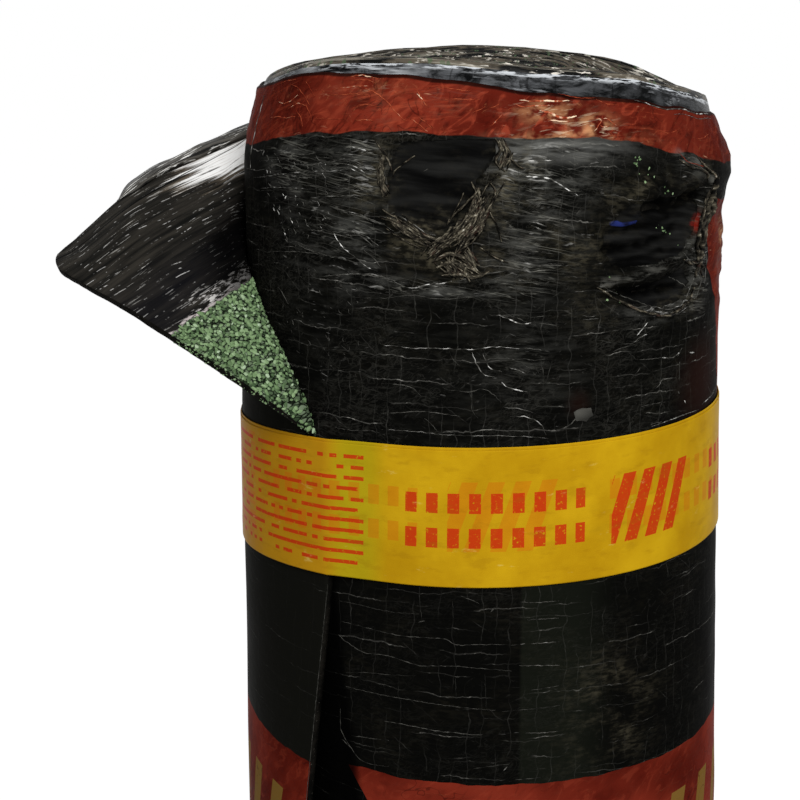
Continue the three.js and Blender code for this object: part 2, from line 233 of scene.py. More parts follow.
# fine creases of the film that catch the light: brightness, width in mm and path
FILM_CREASES = read_rows("""
.4 .4  4.8,31 5,39 5,47.5
.55 .5  47,67 50,70 53,73
.45 .5  44,76 48,79 51,83
.6 .5  53,78 50,84 46,88
.5 .5  56,74 57,80 54,86
.6 .5  40,89 46,91 52,88
.5 .5  60,70 61,76 59,82
.35 .45  -68.2,41 -46,36 -32.2,33.5
.3 .4  -63.8,33.5 -44.2,30 -31.2,28
.25 .4  -66.2,46 -41.2,41.5 -25.6,40.5
.25 .4  -47.8,47 -37,44.5 -27.4,42
.45 .5  -34.6,49 -30.2,50 -26.8,51 -23.6,52.5
.9 .6  -36.6,57 -34.4,62 -31.4,65.5 -27.6,69.5 -25.2,70.5
.55 .5  -33.4,56 -30.6,57 -28,59 -25.8,62
.45 .45  -45,64.5 -39.4,66.5 -32.6,67.5 -28.2,69.5
.4 .45  -28.8,63 -26.4,65.5 -24.6,69
.6 .5  -31.2,39 -28.8,40 -26.4,41.5
.9 .7  -31.6,24.5 -29.4,25 -27.4,25.5
.85 .7  -32.4,31 -30.2,32 -28,34
.8 .7  -31.6,32.5 -29.6,34 -27.8,35.5
.6 .6  -31.8,29.5 -30,30 -28.2,31.5
.4 .5  -15.2,32.5 -14.2,31.5
.6 .5  -21,49.5 -18.8,51 -16.6,53 -14.6,55 -12.4,56
.55 .6  -41,75.5 -33.2,73 -27,72.5 -22.2,73.5 -18.8,74.5
.9 .7  -16,75.5 -13.8,74.5 -11.2,74 -8.8,73
.8 .6  -19,76.5 -15.2,75.5 -11.2,73
.5 .6  -8.2,73 -5,71.5 -1.4,70 2.4,69
.45 .45  -23.4,78.5 -16.6,77 -9.8,74.5
.4 .4  -32,81.5 -24.6,81 -17.2,79 -11.2,80 -1.4,78.5
.4 .4  -55.4,82.5 -53.2,85.5 -51.4,88.5
1 .75  5.2,33 7.2,34 9,34.5 11.2,35.5 13.6,37.5 17.4,41
.8 .6  5.4,28 9.2,28.5 12.8,29
.45 .5  3.8,31.5 6.2,31 10.6,32
.5 .45  5.8,47 8,47 10,48
.8 .6  7.2,50.5 9,51.5 10.8,53
.6 .6  7.6,52 9.4,53.5 10.6,55
.35 .4  8.8,61 10.4,62.5 14,63.5
.3 .4  -1,44 1.8,44 4.8,44
.3 .4  -.6,45.5 4.8,46
.4 .45  5.4,44 8.4,43.5 11.6,44 16.4,45
.5 .6  4.4,69 8.8,67.5 14,67.5 16.8,67.5
.35 .5  -.8,72.5 4.4,69.5
.5 .6  22.6,75 25.6,78 28.6,80 34.2,84 38.6,87
.8 .5  38,88 41.8,89.5 45.8,90 49.2,88.5
.7 .5  38.6,86.5 43.2,88.5 47.6,87
.45 .5  30,83.5 34.2,86.5 37.8,89.5
.45 .5  -.8,85.5 1.8,86 4.6,86.5 9.4,90.5
.9 .55  32.8,96.5 33.8,95 36,92
.8 .6  32.2,99 33.8,97.5 35.6,96.5
.5 .5  19.4,87 21.2,87.5 23.6,87
.5 .5  19.6,88.5 21.2,88.5 23.2,88.5
.35 .4  23.8,97 27.8,99 31.6,99.5 33.8,98.5
.3 .5  27,102 29,101 32.8,100
.5 .45  33.6,106.5 36.6,107 41.6,107.5
.9 .7  41.6,107.5 45.2,108.5 48.4,107
.5 .5  47.2,108.5 48.8,105.5
.7 .8  52.4,108.5 55,109.5
.35 .4  47.4,102 52.6,102 56.8,102.5
.4 .45  32,114 33.4,112 34.8,110
.55 .5  39.4,119.5 41,118 42,116.5 47.2,117
.6 .7  47.8,123 48.4,124
.7 .7  50.6,127.5 51.2,129
.35 .35  48,118.5 48.2,111
.7 .6  38.6,134.5 43.4,134 50.4,133.5 57.6,134
.8 .6  59.8,132.5 64.6,132 70,131.5
.5 .4  38.4,133.5 41.8,133.5
.4 .4  35.2,125.5 40,125.5 43.4,126
.9 .6  1,85.5 2.2,86.5 3.6,87.5 5.6,89 8.2,89
.75 .5  -23.6,99 -20.4,99 -17.2,99.5 -13.8,99 -10.4,99 -7,99 -3.6,99 -.6,98 2.4,98 4.4,98.5 5.8,98.5
.6 .45  6.6,98.5 8.8,99 10.6,99.5
.3 .4  -9.2,100 -8.6,102.5 -6.8,106
.85 .6  -2,100.5 -1.4,103.5 -.2,106.5 2,107.5
.7 .55  -4.4,100 -3.8,103 -3,106 -1.8,108.5 .4,109.5
.7 .5  3.6,106 5.4,107 7.2,108.5
.95 .6  2,111.5 2.8,113 4.2,114 6,115 7.6,115.5
.5 .45  -24.6,114 -21.8,114 -19.6,114 -17.2,115 -15.4,117.5
.4 .45  -10.6,114 -9.4,115 -7.6,115 -4.8,115.5 -3,114.5 -1.4,114.5 .4,116.5 2,119.5
.3 .4  -4.8,115.5 -4.4,118.5 -4.4,121.5 -3.8,124 -3,125.5
.55 .5  2.6,121.5 6,122 9.4,124
.7 .55  3.8,125 6,125 7.8,125.5 10.4,128 11.8,132.5
.55 .45  -24.6,126 -20,125 -16.4,124 -12.4,124 -9.8,124.5 -6.8,125
.35 .4  -14.6,126.5 -12.8,129 -11.6,131.5
.6 .4  -24.6,132.5 -20,132 -15.4,132 -11,132.5 -6.8,132.5 -2.4,132.5 1.8,132.5 7.2,133 12.6,134
.4 .4  -37.6,134.5 -32.2,134.5 -27,133.5 -23.4,134.5
.45 .7  13.6,131.5 15.4,130.5 17.2,129 18.4,127 19,124.5
.35 .5  7.8,87 10,86.5 12.6,86.5
.35 .5  8.4,89 11.6,89.5 14.8,91
.3 .4  5.8,104 8,106.5 9.6,110
.3 .4  8,103 9.2,106 10.4,110
.3 .4  10.2,103 10.8,107 11.2,111
.3 .4  12.8,104 12.2,108 11.8,111.5
.42 .45  -35.6,221 -33.8,223 -32,224 -28.6,226 -25.4,225.5 -22.2,225.5 -18.8,226.5 -15.2,227.5 \
-11.2,227 -7.2,226.5 -1.8,227 5,228
.38 .42  -34.8,215 -30,215 -25.2,215.5 -19,216 -14.2,215.5 -9.4,215.5 -7.2,217.5 -2,217 2.4,217 7.2,217.5
.6 .45  9.2,217 12.6,217 15.4,217
.25 .35  -35.6,206.5 -30.4,206 -25.2,206.5 -20,206.5 -15.4,206
.5 .4  -6.2,197 -4.2,198.5 -2.2,200
.5 .4  6.4,199.5 10.2,200 15.2,200
.5 .4  8.2,207 11.4,207 15.2,207
.55 .45  6.6,226 11.6,226.5 15.6,227
.3 .35  -33.4,236.5 -28.4,234.5 -23.4,233.5 -16,232
.4 .4  -33.6,242.5 -29.4,242.5 -25.4,242.5 -17.8,242.5 -12.6,243 -7.2,243.5 -2.8,244 1.6,244.5
.45 .4  9.2,236.5 12.8,236 15.6,235.5
.3 .4  2.8,245 9.4,244.5 15.8,244
.55 .45  -23.4,253.5 -18.8,253.5 -14,254 -10.6,254.5 -7,254.5 -4,255 -1.2,255
.6 .45  8.2,254.5 12,255 16,255
.4 .4  -32.2,263.5 -27.4,262.5 -22.2,261.5
.35 .35  -35,253 -35,258.5 -34.8,262.5 -32.4,268.5 -28.8,273.5 -22.2,273
.2 .35  -8,199.5 -7.8,206.5
.2 .35  -7.2,231.5 -7,240
.22 .35  -15.4,193.5 -15.2,201 -14.8,209.5
.22 .35  -.8,229.5 -.6,237 -.4,244
.6 .6  -15.6,209.5 -14.2,208.5
.6 .6  6.8,217 7.8,217
.6 .6  3.4,270.5 4.4,268.5
.6 .7  .2,203.5 1.4,201.5
.35 .4  -3,269.5 .6,268.5 4.8,267.5
.4 .4  6,274.5 12,274
.4 .4  8.8,264 11.8,265
.4 .45  -34.8,266.5 -33.4,267.5 -31.8,269.5
.9 .5  32,7.6 38,9.8 45,11.3 53,13.2 59,14.4 66,15.3
.7 .4  45,13.3 53,15 60,16.4 68,17.2
.7 .4  -68,8 -70,22 -71,30 -71,38
.67 .5  -65.4,40.5 -55.4,38 -48.4,36 -42.2,35 -37.2,34 -31.4,32.5
.57 .5  -51.4,31.5 -47.4,32.5 -43.2,32.5 -39.8,31.5 -37.2,30.5 -33.8,29 -31.2,28
.62 .45  -63.4,44.5 -58.4,43.5 -53.4,42.5 -48.6,42 -43.8,41.5
.55 .5  -42.8,45 -39,44 -34.6,43 -30.6,42.5 -27.4,42
.52 .45  -37.4,53.5 -34.8,54 -31.8,54
.67 .5  -31.8,56.5 -28.2,57.5 -26.4,59.5 -25,61
.59 .5  -36.2,75 -34,73.5 -31.4,72.5 -28.4,72 -25.6,72 -23,73 -20.6,74.5
.52 .45  -59.8,69.5 -53.8,68 -49,67 -44,66.5 -40.2,66.5
.59 .45  -50.2,37.5 -45.8,37.5 -41.2,37
.57 .45  -35.8,39 -31.8,40.5 -29,40.5 -26,40.5
.52 .45  -47.8,63 -46.2,64.5 -43.6,65.5 -39.2,66.5 -35.6,66.5
.47 .45  -37.4,57 -33.8,57 -31.4,57
.52 .4  -33.8,29.5 -31.2,30 -29,31.5 -27.4,32.5
.67 .45  -34.6,48.5 -31.4,49 -28.6,50 -26.4,51.5 -23.8,53 -21.6,55
""")
# creases of the stripe, painted as highlights in red and gold: brightness, width in mm and path
STRIPE_CREASES = read_rows("""
.2 .5  44,27 46.8,31.5 51,33.5 57,34.5
.6 .5  -30.8,2 -26.8,3.5 -23.6,7 -21.2,11.5 -19,14.5
.8 .5  -34.2,-1 -29.6,-2 -25,-1
.7 .4  -36.2,3 -30,2 -26.8,1.5
.55 .4  -38.4,5.5 -32.6,5 -27.8,5
.6 .45  -32.8,0 -28.6,-.5 -26.2,.5
.5 .4  -58.2,3 -54.2,1.5 -50.2,.5
.8 .5  -57.4,10 -54,10 -51.2,8.5 -49,6.5
.7 .45  -52.4,12 -50,10.5 -48.2,9.5 -45,10.5
.6 .45  -60,16 -56.2,15.5 -53.2,15.5 -48.8,14.5
.35 .4  -42,15 -37.8,14.5 -33.8,14
.4 .4  -53,2.5 -49.6,3.5 -46.8,6 -44,10
.4 .4  -46.2,1 -44.6,3.5 -43,6.5
.9 .6  -16.6,4.5 -15.6,6 -14.6,8
.7 .5  -16.6,3 -15.8,5.5 -15.4,8.5
.6 .5  -15.4,6.5 -14.8,8 -14,9
.6 .45  -18.6,13 -16,15.5 -14,18
.5 .4  -16,13 -14.6,14.5 -13.2,16.5
.8 .5  -4.8,10.5 -3.2,9.5 -2.2,8.5
.9 .9  5,6 6.8,6.5 8.6,7 12.6,7.5 15.8,6.5
.75 .7  4,7.5 5.6,8.5 7.2,8.5 11.6,9
1 1.4  9.2,10.5 11.2,11.5 13.2,13 15.4,13 17.4,12
.8 .8  10.8,14 13.4,14.5 15.8,14
.9 .6  21.2,13 22.4,13.5 23,14.5 22.2,16.5 21.4,18
.8 .5  23.4,13.5 24.6,13.5 25.8,15 27.2,16
.8 .5  22.2,15.5 23.8,16.5 25.2,16
.7 .5  -1.2,9 -.2,8.5 .8,7.5
.8 .5  -.8,15.5 .2,13.5 1.2,11.5
.5 .5  2.4,10 3.6,8.5
.4 .4  53.8,23.5 57.6,23.5 62.6,22.5
.5 .5  22,6.5 24.4,8 27.4,8.5
.5 .4  -11.6,1.5 -8.4,2.5 -5.4,3
.45 .4  38.2,18 42,19.5 46.4,19.5
.35 .4  13.2,4.5 17.6,5.5 22,6
.5 .5  -11.4,6 -7.4,6 -3.4,6
.4 .4  -31.6,9.5 -28,8.5 -24.4,9.5
.6 .5  -31,14.5 -27.6,14 -26.2,14.5
.35 .35  -45.6,9.5 -44,12.5 -43.2,15.5
.35 .35  -49,12 -47,14.5 -45.8,18
""")
# stray chips: angle, level, spread in mm and count
GRIT = [(32, 30, 1.3, 9), (35, 37, 2.6, 5), (41, 43, 2.6, 5), (41.5, 56, 1.6, 5), (46, 62, 2.0, 3),
        (29, 78, 4, 4)]
# scraps of print below the stripe: 1 for red or -1 for blue, and the outline
PRINT_SCRAPS = [
    (1.0, [(60, 50), (64, 49), (74, 52), (84, 51), (88, 60), (85, 74), (89, 88), (85, 104), (87, 122),
           (83, 140), (84, 162), (79, 162), (76, 130), (72, 104), (67, 88), (62.5, 77), (60, 62)]),
    (-1.0, [(24.5, 51.8), (27, 51.4), (29, 52.5), (33, 52.6), (33.6, 54.2), (29, 54.3), (26, 53.4)]),
]
# where red shows darkly through the film: centre, half widths, amount
PRINT_SHOWING = [((60, 122), (14, 24), 0.22), ((19, 121), (4, 8), 0.15), ((54.5, 56.5), (3.4, 5.5), 0.5)]
# a ragged bit of pale film stuck on, by angle and level
STUCK_BIT = [(17.9, 124.4), (18.7, 123.6), (20.0, 123.0), (21.0, 123.3), (21.9, 123.2), (22.1, 124.8),
             (22.5, 126.2), (21.6, 127.0), (20.8, 128.4), (19.7, 127.9), (18.4, 127.8), (18.2, 126.0)]
# where dust lies, and where the film is drawn tight and carries painted glints and painted sheen: centre,
# half widths, amount
DUSTY = [((-25, 34), (4, 14), 0.95), ((-17, 57), (8, 6), 0.9), ((-6, 55), (7, 12), 0.8),
         ((6, 50), (9, 16), 0.35), ((4, 28), (5, 7), 0.5), ((20, 60), (7, 16), 0.35),
         ((38, 88), (14, 5), 0.45), ((28, 250), (9, 19), 0.55), ((57, 55), (4, 20), 0.6),
         ((-6, 67), (8, 5), 0.8), ((36, 40), (12, 6), 0.3), ((-3, 8), (50, 5), 0.12),
         ((2, 39), (3.4, 8), 0.45)]
GLINT_AND_SHEEN = [((8, 60), (13, 18), 0.65), ((-29, 30), (5, 12), 0.9), ((-30, 60), (8, 14), 0.6),
        ((4, 30), (9, 10), 0.6), ((14, 34), (14, 12), 0.55), ((10, 105), (16, 25), 0.35),
        ((-45, 60), (18, 45), 0.35), ((56, 70), (8, 24), 0.9), ((50, 34), (9, 6), 0.6),
        ((40, 88), (12, 5), 0.8), ((-12, 76), (16, 4), 0.7), ((26, 14), (26, 8), 0.4),
        ((-50, 30), (14, 15), 0.42), ((13, 24), (11, 4), 0.7), ((-10, 6), (24, 4), 0.35),
        ((-20, 110), (30, 30), 0.15), ((25, 260), (35, 60), 0.12), ((0, 3), (50, 3), 0.3)]
# where painted highlights lie: gold shine on the print, and a grey sheen on the black film beside it
GOLD = [
    ((9.5, 9.5), (6, 2.2), 0.55), ((12, 13), (5, 2), 0.6), ((16, 18.5), (10, 1.4), 0.5),
    ((21.5, 15.5), (4, 3.4), 0.75), ((-27, 2.5), (7, 2.5), 0.12), ((76, 68), (5, 7), 0.9),
    ((14, 24.5), (15, 4.0), 0.65), ((7, 22.5), (8, 2.2), 0.5),
]

random.seed(7)


# ---- places

def outward(angle):
    turned = math.radians(angle)
    return Vector((math.sin(turned), -math.cos(turned), 0.0))


def arc_at(angle):
    """Metres along the outer turn."""
    return math.radians(angle) * ROLL_RADIUS


def place(angle, radius, depth):
    return AXIS + outward(angle) * radius + Vector((0.0, 0.0, SHEET_WIDTH - depth))


def winding_radius(wound):
    """Outer face of the sheet, by the degrees wound back from its free end."""
    return ROLL_RADIUS - THICKNESS * wound / 360


def waver(x, y, z):
    """Smooth noise, from about -1 to 1."""
    return noise.noise(Vector((x, y, z)))


def clamped(value):
    return min(max(value, 0.0), 1.0)


def mix(low, high, share):
    return low + (high - low) * share


def smooth(low, high, value):
    share = clamped((value - low) / (high - low))
    return share * share * (3 - 2 * share)


def evened(table):
    """A table by angle, in metres for every whole degree, with its corners rounded."""
    def plain(angle):
        angle = (angle + 180) % 360 - 180
        for (a0, v0), (a1, v1) in zip(table, table[1:]):
            if angle <= a1:
                return mix(v0, v1, (angle - a0) / (a1 - a0))
        return table[-1][1]
    return [sum(plain(degree + near) for near in (-6, -3, 0, 3, 6)) / 5 * MM for degree in range(361)]


def read_table(values, angle):
    angle = angle % 360
    index = int(angle)
    return mix(values[index], values[index + 1], angle - index)


OUTER_RIM = evened(OUTER_RIM)
INNER_RIM = evened(INNER_RIM)
SHOULDER = evened(SHOULDER)
STRIPE = evened(STRIPE)


def rim_height(angle, radius):
    """Height of an end's edge above the plain sheet width."""
    inside = (ROLL_RADIUS - radius) / THICKNESS
    arc = arc_at(angle)
    worn = 1 - smooth(100, 170, abs(angle))
    nicks = 0.9 * MM * waver(arc / 0.014, inside // 1, 4.0) * worn
    inner = mix(2 * MM, read_table(INNER_RIM, angle), smooth(0.01, 0.085, radius))
    return mix(read_table(OUTER_RIM, angle) + nicks, inner, smooth(1.15, 1.9, inside))


def drawn_in(angle, radius, depth):
    """How far the top of the roll is drawn in at its rim."""
    share = max(1 - max(depth, 0.0) / SHOULDER_DEPTH, 0.0) ** 1.5
    return read_table(SHOULDER, angle) * share * (radius / ROLL_RADIUS) ** 3


def sag_fade(depth):
    return 1 - smooth(*SAG_DEPTH, depth)


def level_of(angle, depth):
    """Millimetres below the plain top, for a depth down the hanging sheet."""
    return (depth - read_table(OUTER_RIM, angle) * sag_fade(depth)) / MM


def depth_at(angle, level):
    """The depth down the sheet that hangs at a level."""
    depth = level * MM
    for _ in range(6):
        depth = level * MM + read_table(OUTER_RIM, angle) * sag_fade(depth)
    return depth


def loosened(angle, depth):
    wide, more = LOOSENED
    share = clamped((depth - 0.110) / 0.230) * (1 - smooth(0.45, 0.90, depth))
    return (wide + more * math.sin(math.radians(angle))) * MM * share


def ladder(*stops):
    """Values that climb from stop to stop, each stop with the step that follows it."""
    values = []
    for (start, step), (end, _) in zip(stops, stops[1:]):
        count = max(1, round((end - start) / step))
        values += [mix(start, end, i / count) for i in range(count)]
    return values + [stops[-1][0]]


# ---- relief of the outer face

def arc_mm(angle):
    return arc_at(angle) / MM


def segment_distance(point, start, end):
    along = end - start
    share = clamped((point - start).dot(along) / along.length_squared)
    return (point - start - along * share).length


def box_of(path, margin):
    spans = [arc_mm(angle) for angle, _ in path], [level for _, level in path]
    return [(min(span) - margin, max(span) + margin) for span in spans]


def flat_path(path):
    return [Vector((arc_mm(angle), level)) for angle, level in path]


OUTLINES = [(flat_path(tear), box_of(tear, 4)) for tear in TEARS]
CREASES = [(flat_path(path), half, height, box_of(path, 3 * half)) for half, height, path in FOLDS]


def within(point, box):
    return all(low < value < high for value, (low, high) in zip(point, box))


def outline_mask(corners, point, soft=1.6):
    """1 well inside an outline, 0 outside it, with a soft edge of a few millimetres."""
    inside = False
    near = 1e9
    for start, end in zip(corners, corners[1:] + corners[:1]):
        near = min(near, segment_distance(point, start, end))
        if (start.y > point.y) != (end.y > point.y):
            cross = start.x + (point.y - start.y) / (end.y - start.y) * (end.x - start.x)
            inside ^= point.x < cross
    return smooth(-soft, soft, near if inside else -near)


def tear_mask(angle, depth):
    if not (-30 < angle < 62 and depth < 0.1):
        return 0.0
    point = Vector((arc_mm(angle), level_of(angle, depth)))
    ragged = 1.2 * waver(point.x / 5, point.y / 5, 4.0)
    point.y += ragged
    return max(outline_mask(outline, point) if within(point, box) else 0.0 for outline, box in OUTLINES)


def patch(angle, level, centre, size):
    """A soft patch: 1 at its centre, fading over its half widths."""
    across = (angle - centre[0]) / size[0]
    down = (level - centre[1]) / size[1]
    return math.exp(-across * across - down * down)


SCRAPS = [(kind, flat_path(scrap), box_of(scrap, 4)) for kind, scrap in PRINT_SCRAPS]


def print_mask(angle, depth):
    """Print below the stripe, in scraps: 1 red, less where red shows darkly through, -1 blue."""
    if not (8 < angle < 92 and 0.03 < depth < 0.19):
        return 0.0
    point = Vector((arc_mm(angle), level_of(angle, depth)))
    point.x += 1.5 * waver(point.x / 6, point.y / 6, 8.0)
    found = [kind * outline_mask(outline, point, 1.2) for kind, outline, box in SCRAPS
             if within(point, box)]
    found += [amount * patch(angle, point.y, centre, size) for centre, size, amount in PRINT_SHOWING]
    return max(found, key=abs)


def spread(spots, angle, depth, base):
    """Sum of soft patches at a place on the sheet."""
    level = level_of(angle, depth)
    total = base
    for centre, size, amount in spots:
        total += amount * patch(angle, level, centre, size)
    return min(total, 1.0)


def handled(angle, depth):
    """The stretch above the tape that has folds and swellings."""
    return -100 < angle < 110 and depth < 0.13


def near_tape(depth):
    return smooth(0.126, 0.134, depth) * (1 - smooth(0.196, 0.206, depth))


@functools.cache
def folds_at(angle, depth):
    """The folds' height at a place, and how much they catch (+) or lose (-) the light."""
    lift, shade = 0.0, 0.0
    if not handled(angle, depth):
        return lift, shade
    point = Vector((arc_mm(angle), level_of(angle, depth)))
    bend = Vector((point.x, point.y + 1.1 * noise.noise(point.to_3d() / 7)))
    for path, half, height, box in CREASES:
        if not within(bend, box):
            continue
        off = min(segment_distance(bend, a, b) for a, b in zip(path, path[1:])) / half
        if off < 3:
            part = math.exp(-off * off) * (0.8 + 0.5 * noise.noise(point.to_3d() / 5))
            lift += height * MM * part
            shade += min(height, 1.5) / 2.5 * part
    return lift, min(max(shade, -1.0), 1.0)


def wrap_relief(angle, depth):
    """How far the outer face stands off the plain winding."""
    arc = arc_at(angle)
    waves = 0.55 * MM * waver(arc / 0.055, depth / 0.07, 1.3)
    waves += 0.22 * MM * waver(arc / 0.016, depth / 0.019, 7.1)
    lift = waves
    if handled(angle, depth):
        point = Vector((arc_mm(angle), level_of(angle, depth)))
        for centre, size, height in SWELLS:
            lift += height * MM * patch(angle, point.y, centre, size)
        lift += folds_at(angle, depth)[0]
        torn = tear_mask(angle, depth)
        ripple = math.sin(point.y / 6.4 * 2 * math.pi + 3 * waver(arc / 0.02, 0, 3))
        lift += torn * (0.45 * MM * ripple - TEAR_DEPTH)
        crush = smooth(24, 36, point.y) * (1 - smooth(88, 104, point.y)) * smooth(12, 30, angle)
        lift += crush * 0.9 * MM * waver(arc / 0.016, depth / 0.006, 5.5)
        pulled = smooth(20, 30, point.y) * (1 - smooth(80, 95, point.y)) * smooth(-4, 4, angle)
        lift += pulled * 0.35 * MM * waver(arc / 0.022, depth / 0.0028, 2.5)
        creased = 1 - smooth(0.018, 0.024, depth)
        lift += creased * 0.5 * MM * waver(arc / 0.011, depth / 0.0065, 9.2)
        lift += creased * 0.3 * MM * waver(arc / 0.005, depth / 0.003, 6.1)
    return lift * (1 - 0.85 * near_tape(depth))


def wrap_point(angle, depth, inset):
    """The turn under the tail, by its angle from the front; inset goes in from the outer face."""
    wound = END_ANGLE - angle + 360
    radius = winding_radius(wound)
    off = wrap_relief(angle, depth) if inset < THICKNESS / 2 else 0.0
    off += loosened(angle, depth) - drawn_in(angle, radius, depth)
    spot = place(angle, radius + off - inset, depth)
    spot.z += rim_height(angle, radius) * sag_fade(depth)
    return spot


# ---- the tail of the sheet

def bezier(start, near_start, near_end, end, share):
    rest = 1 - share
    near = near_start * (3 * rest * rest * share) + near_end * (3 * rest * share * share)
    return start * rest ** 3 + near + end * share ** 3


def cut_edge_angle(depth):
    share = (depth - PEEL_DEPTH) / (TAPE_BOTTOM - PEEL_DEPTH)
    corner = 0.0
    if depth < CORNER_ROUND:
        corner = CORNER_ROUND - math.sqrt(CORNER_ROUND ** 2 - (CORNER_ROUND - depth) ** 2)
    corner += TAIL_LEAN * smooth(0.17, 0.40, depth)
    return mix(PEEL_END_ANGLE, END_ANGLE, clamped(share)) - math.degrees(corner / ROLL_RADIUS)


def peeled_point(angle, depth):
    share = 1 - depth / PEEL_DEPTH
    peel = max(PEEL_ANGLE * share ** PEEL_POWER, 1.0)
    start = PEEL_END_ANGLE - peel
    if angle <= start:
        spot = place(angle, winding_radius(END_ANGLE - angle) - drawn_in(angle, ROLL_RADIUS, depth),
                     depth)
        return spot + Vector((0, 0, rim_height(angle, ROLL_RADIUS) * sag_fade(depth)))
    length = ROLL_RADIUS * math.radians(peel)
    root = place(start, winding_radius(END_ANGLE - start), depth)
    pinned = place(PEEL_END_ANGLE, winding_radius(END_ANGLE - PEEL_END_ANGLE), PEEL_DEPTH)
    tip = CORNER_TIP + AXIS + Vector((0, 0, SHEET_WIDTH))
    edge = pinned.lerp(tip, share) + EDGE_BOW * (4 * share * (1 - share))
    leave = LEAVE_AT_TAPE.lerp(LEAVE_AT_TIP, share).normalized()
    near_root = root + outward(start + 90) * (length * mix(*START_PULL, share) / 3)
    near_edge = edge - leave * (length * mix(*END_PULL, share) / 3)
    spot = bezier(root, near_root, near_edge, edge, (angle - start) / peel)
    along = (angle - start) / peel
    held = 1 - smooth(0, 0.5, along)
    droop = DROOP * smooth(0, 0.36, along) * (1 - smooth(0.30, 0.82, along)) * share ** 3
    level_tip = 1 - 0.6 * smooth(0.9, 1, along)
    nose = NOSE * (1 - smooth(0, 0.030, depth)) * smooth(0.6, 0.86, along) * level_tip
    nose += 1.0 * MM * math.exp(-((depth - 0.030) / 0.016) ** 2) * smooth(0.7, 1, along)
    spot.z -= droop + nose
    spot -= outward(start) * drawn_in(start, ROLL_RADIUS, depth) * held
    return spot + Vector((0, 0, rim_height(start, ROLL_RADIUS) * sag_fade(depth) * held))


def tail_point(angle, depth):
    """Outer face of the tail, by its angle as wound and its depth."""
    if depth < PEEL_DEPTH:
        return peeled_point(angle, depth)
    hinge = cut_edge_angle(depth) - RELAX_ANGLE
    opened = clamped((depth - TAPE_BOTTOM) / RELAX_DEPTH)
    if angle <= hinge or opened == 0:
        return place(angle, winding_radius(END_ANGLE - angle) + loosened(angle, depth), depth)
    radius = mix(ROLL_RADIUS, RELAX_RADIUS, opened)
    swing = hinge + (angle - hinge) * ROLL_RADIUS / radius
    centre = outward(hinge) * (winding_radius(END_ANGLE - hinge) + loosened(hinge, depth) - radius)
    return centre + place(swing, radius, depth)


def selvedge_depth(angle):
    past = SELVEDGE_FROM - arc_at(angle)
    return SELVEDGE + SELVEDGE_SLOPE * min(max(past, 0.0), SELVEDGE_REACH)


def tail_ripple(angle, depth):
    """Small waves of the tail: along the sheet in the peeled selvedge, all ways elsewhere."""
    arc = arc_at(angle)
    loose = 1 - smooth(0.100, PEEL_DEPTH, depth)
    streaks = 0.30 * MM * waver(arc / 0.05, depth / 0.0035, 2.2)
    broad = 0.35 * MM * waver(arc / 0.05, depth / 0.06, 4.4)
    below = smooth(0.200, 0.230, depth)
    return loose * streaks + below * broad


# ---- mesh helpers

def make_piece(name, bm, materials):
    mesh = bpy.data.meshes.new(name)
    bm.to_mesh(mesh)
    bm.free()
    for material in materials:
        mesh.materials.append(material)
    mesh.shade_smooth()
    piece = bpy.data.objects.new(name, mesh)
    bpy.context.scene.collection.objects.link(piece)
    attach(piece, "root")
    return piece


def surface_grid(across, down, point, flat, masks=None):
    """A grid with its vertices at point(across, down) and its UVs at flat(across, down).

    Each mask is a point attribute, given by its own function of the two.
    Returns the bmesh and each vertex's place in the two lists."""
    bm = bmesh.new()
    layer = bm.loops.layers.uv.new("sheet")
    values = [(bm.verts.layers.float.new(name), value) for name, value in (masks or {}).items()]
    columns, rows = len(across) - 1, len(down) - 1
    bmesh.ops.create_grid(bm, x_segments=columns, y_segments=rows, size=1.0)
    spots = {}
    for vert in bm.verts:
        column = round((vert.co.x + 1) / 2 * columns)
        row = round((vert.co.y + 1) / 2 * rows)
        spots[vert] = (column, row)
        vert.co = point(across[column], down[row])
        for mask, value in values:
            vert[mask] = value(across[column], down[row])
    for face in bm.faces:
        for loop in face.loops:
            column, row = spots[loop.vert]
            loop[layer].uv = flat(across[column], down[row])
    bmesh.ops.reverse_faces(bm, faces=bm.faces)
    return bm, spots


def close_section(bm):
    """Joins the first and last rows of a grid bent round on itself and caps its ends."""
    bmesh.ops.remove_doubles(bm, verts=bm.verts, dist=0.01 * MM)
    border = [edge for edge in bm.edges if edge.is_boundary]
    bmesh.ops.holes_fill(bm, edges=border, sides=0)


def add_film_skin(piece, thickness, offset=-1.0, inner=0, rim=0):
    """Thickness for a thin sheet; inner and rim step on from the outer face's material."""
    skin = piece.modifiers.new("thickness", "SOLIDIFY")
    skin.thickness = thickness
    skin.offset = offset
    skin.material_offset = inner
    skin.material_offset_rim = rim
    skin.use_quality_normals = True


# ---- materials: helpers

def tone(red, green, blue):
    """Linear colour of a screen colour given in 0 to 255."""
    return tuple(((c / 255 + 0.055) / 1.055) ** 2.4 if c > 10 else c / 255 / 12.92
                 for c in (red, green, blue)) + (1.0,)


class Field:
    """A value in a node tree; arithmetic with it adds the nodes that work it out."""

    def __init__(self, socket):
        self.socket = socket
        self.tree = socket.id_data

    def __abs__(self):
        return maths("ABSOLUTE", self)


def arithmetic(operation, flipped):
    """An operator of a Field with another Field or a number, which comes first if flipped."""
    if flipped:
        return lambda field, other: maths(operation, other, field)
    return lambda field, other: maths(operation, field, other)


for sign, operation in (("add", "ADD"), ("sub", "SUBTRACT"), ("mul", "MULTIPLY"), ("truediv", "DIVIDE")):
    setattr(Field, f"__{sign}__", arithmetic(operation, False))
    setattr(Field, f"__r{sign}__", arithmetic(operation, True))
Field.__gt__ = arithmetic("GREATER_THAN", False)
Field.__lt__ = arithmetic("LESS_THAN", False)


def give(socket, value):
    """Links a Field to a socket, or sets the socket to a plain value."""
    if isinstance(value, Field):
        value.tree.links.new(value.socket, socket)
    else:
        socket.default_value = value


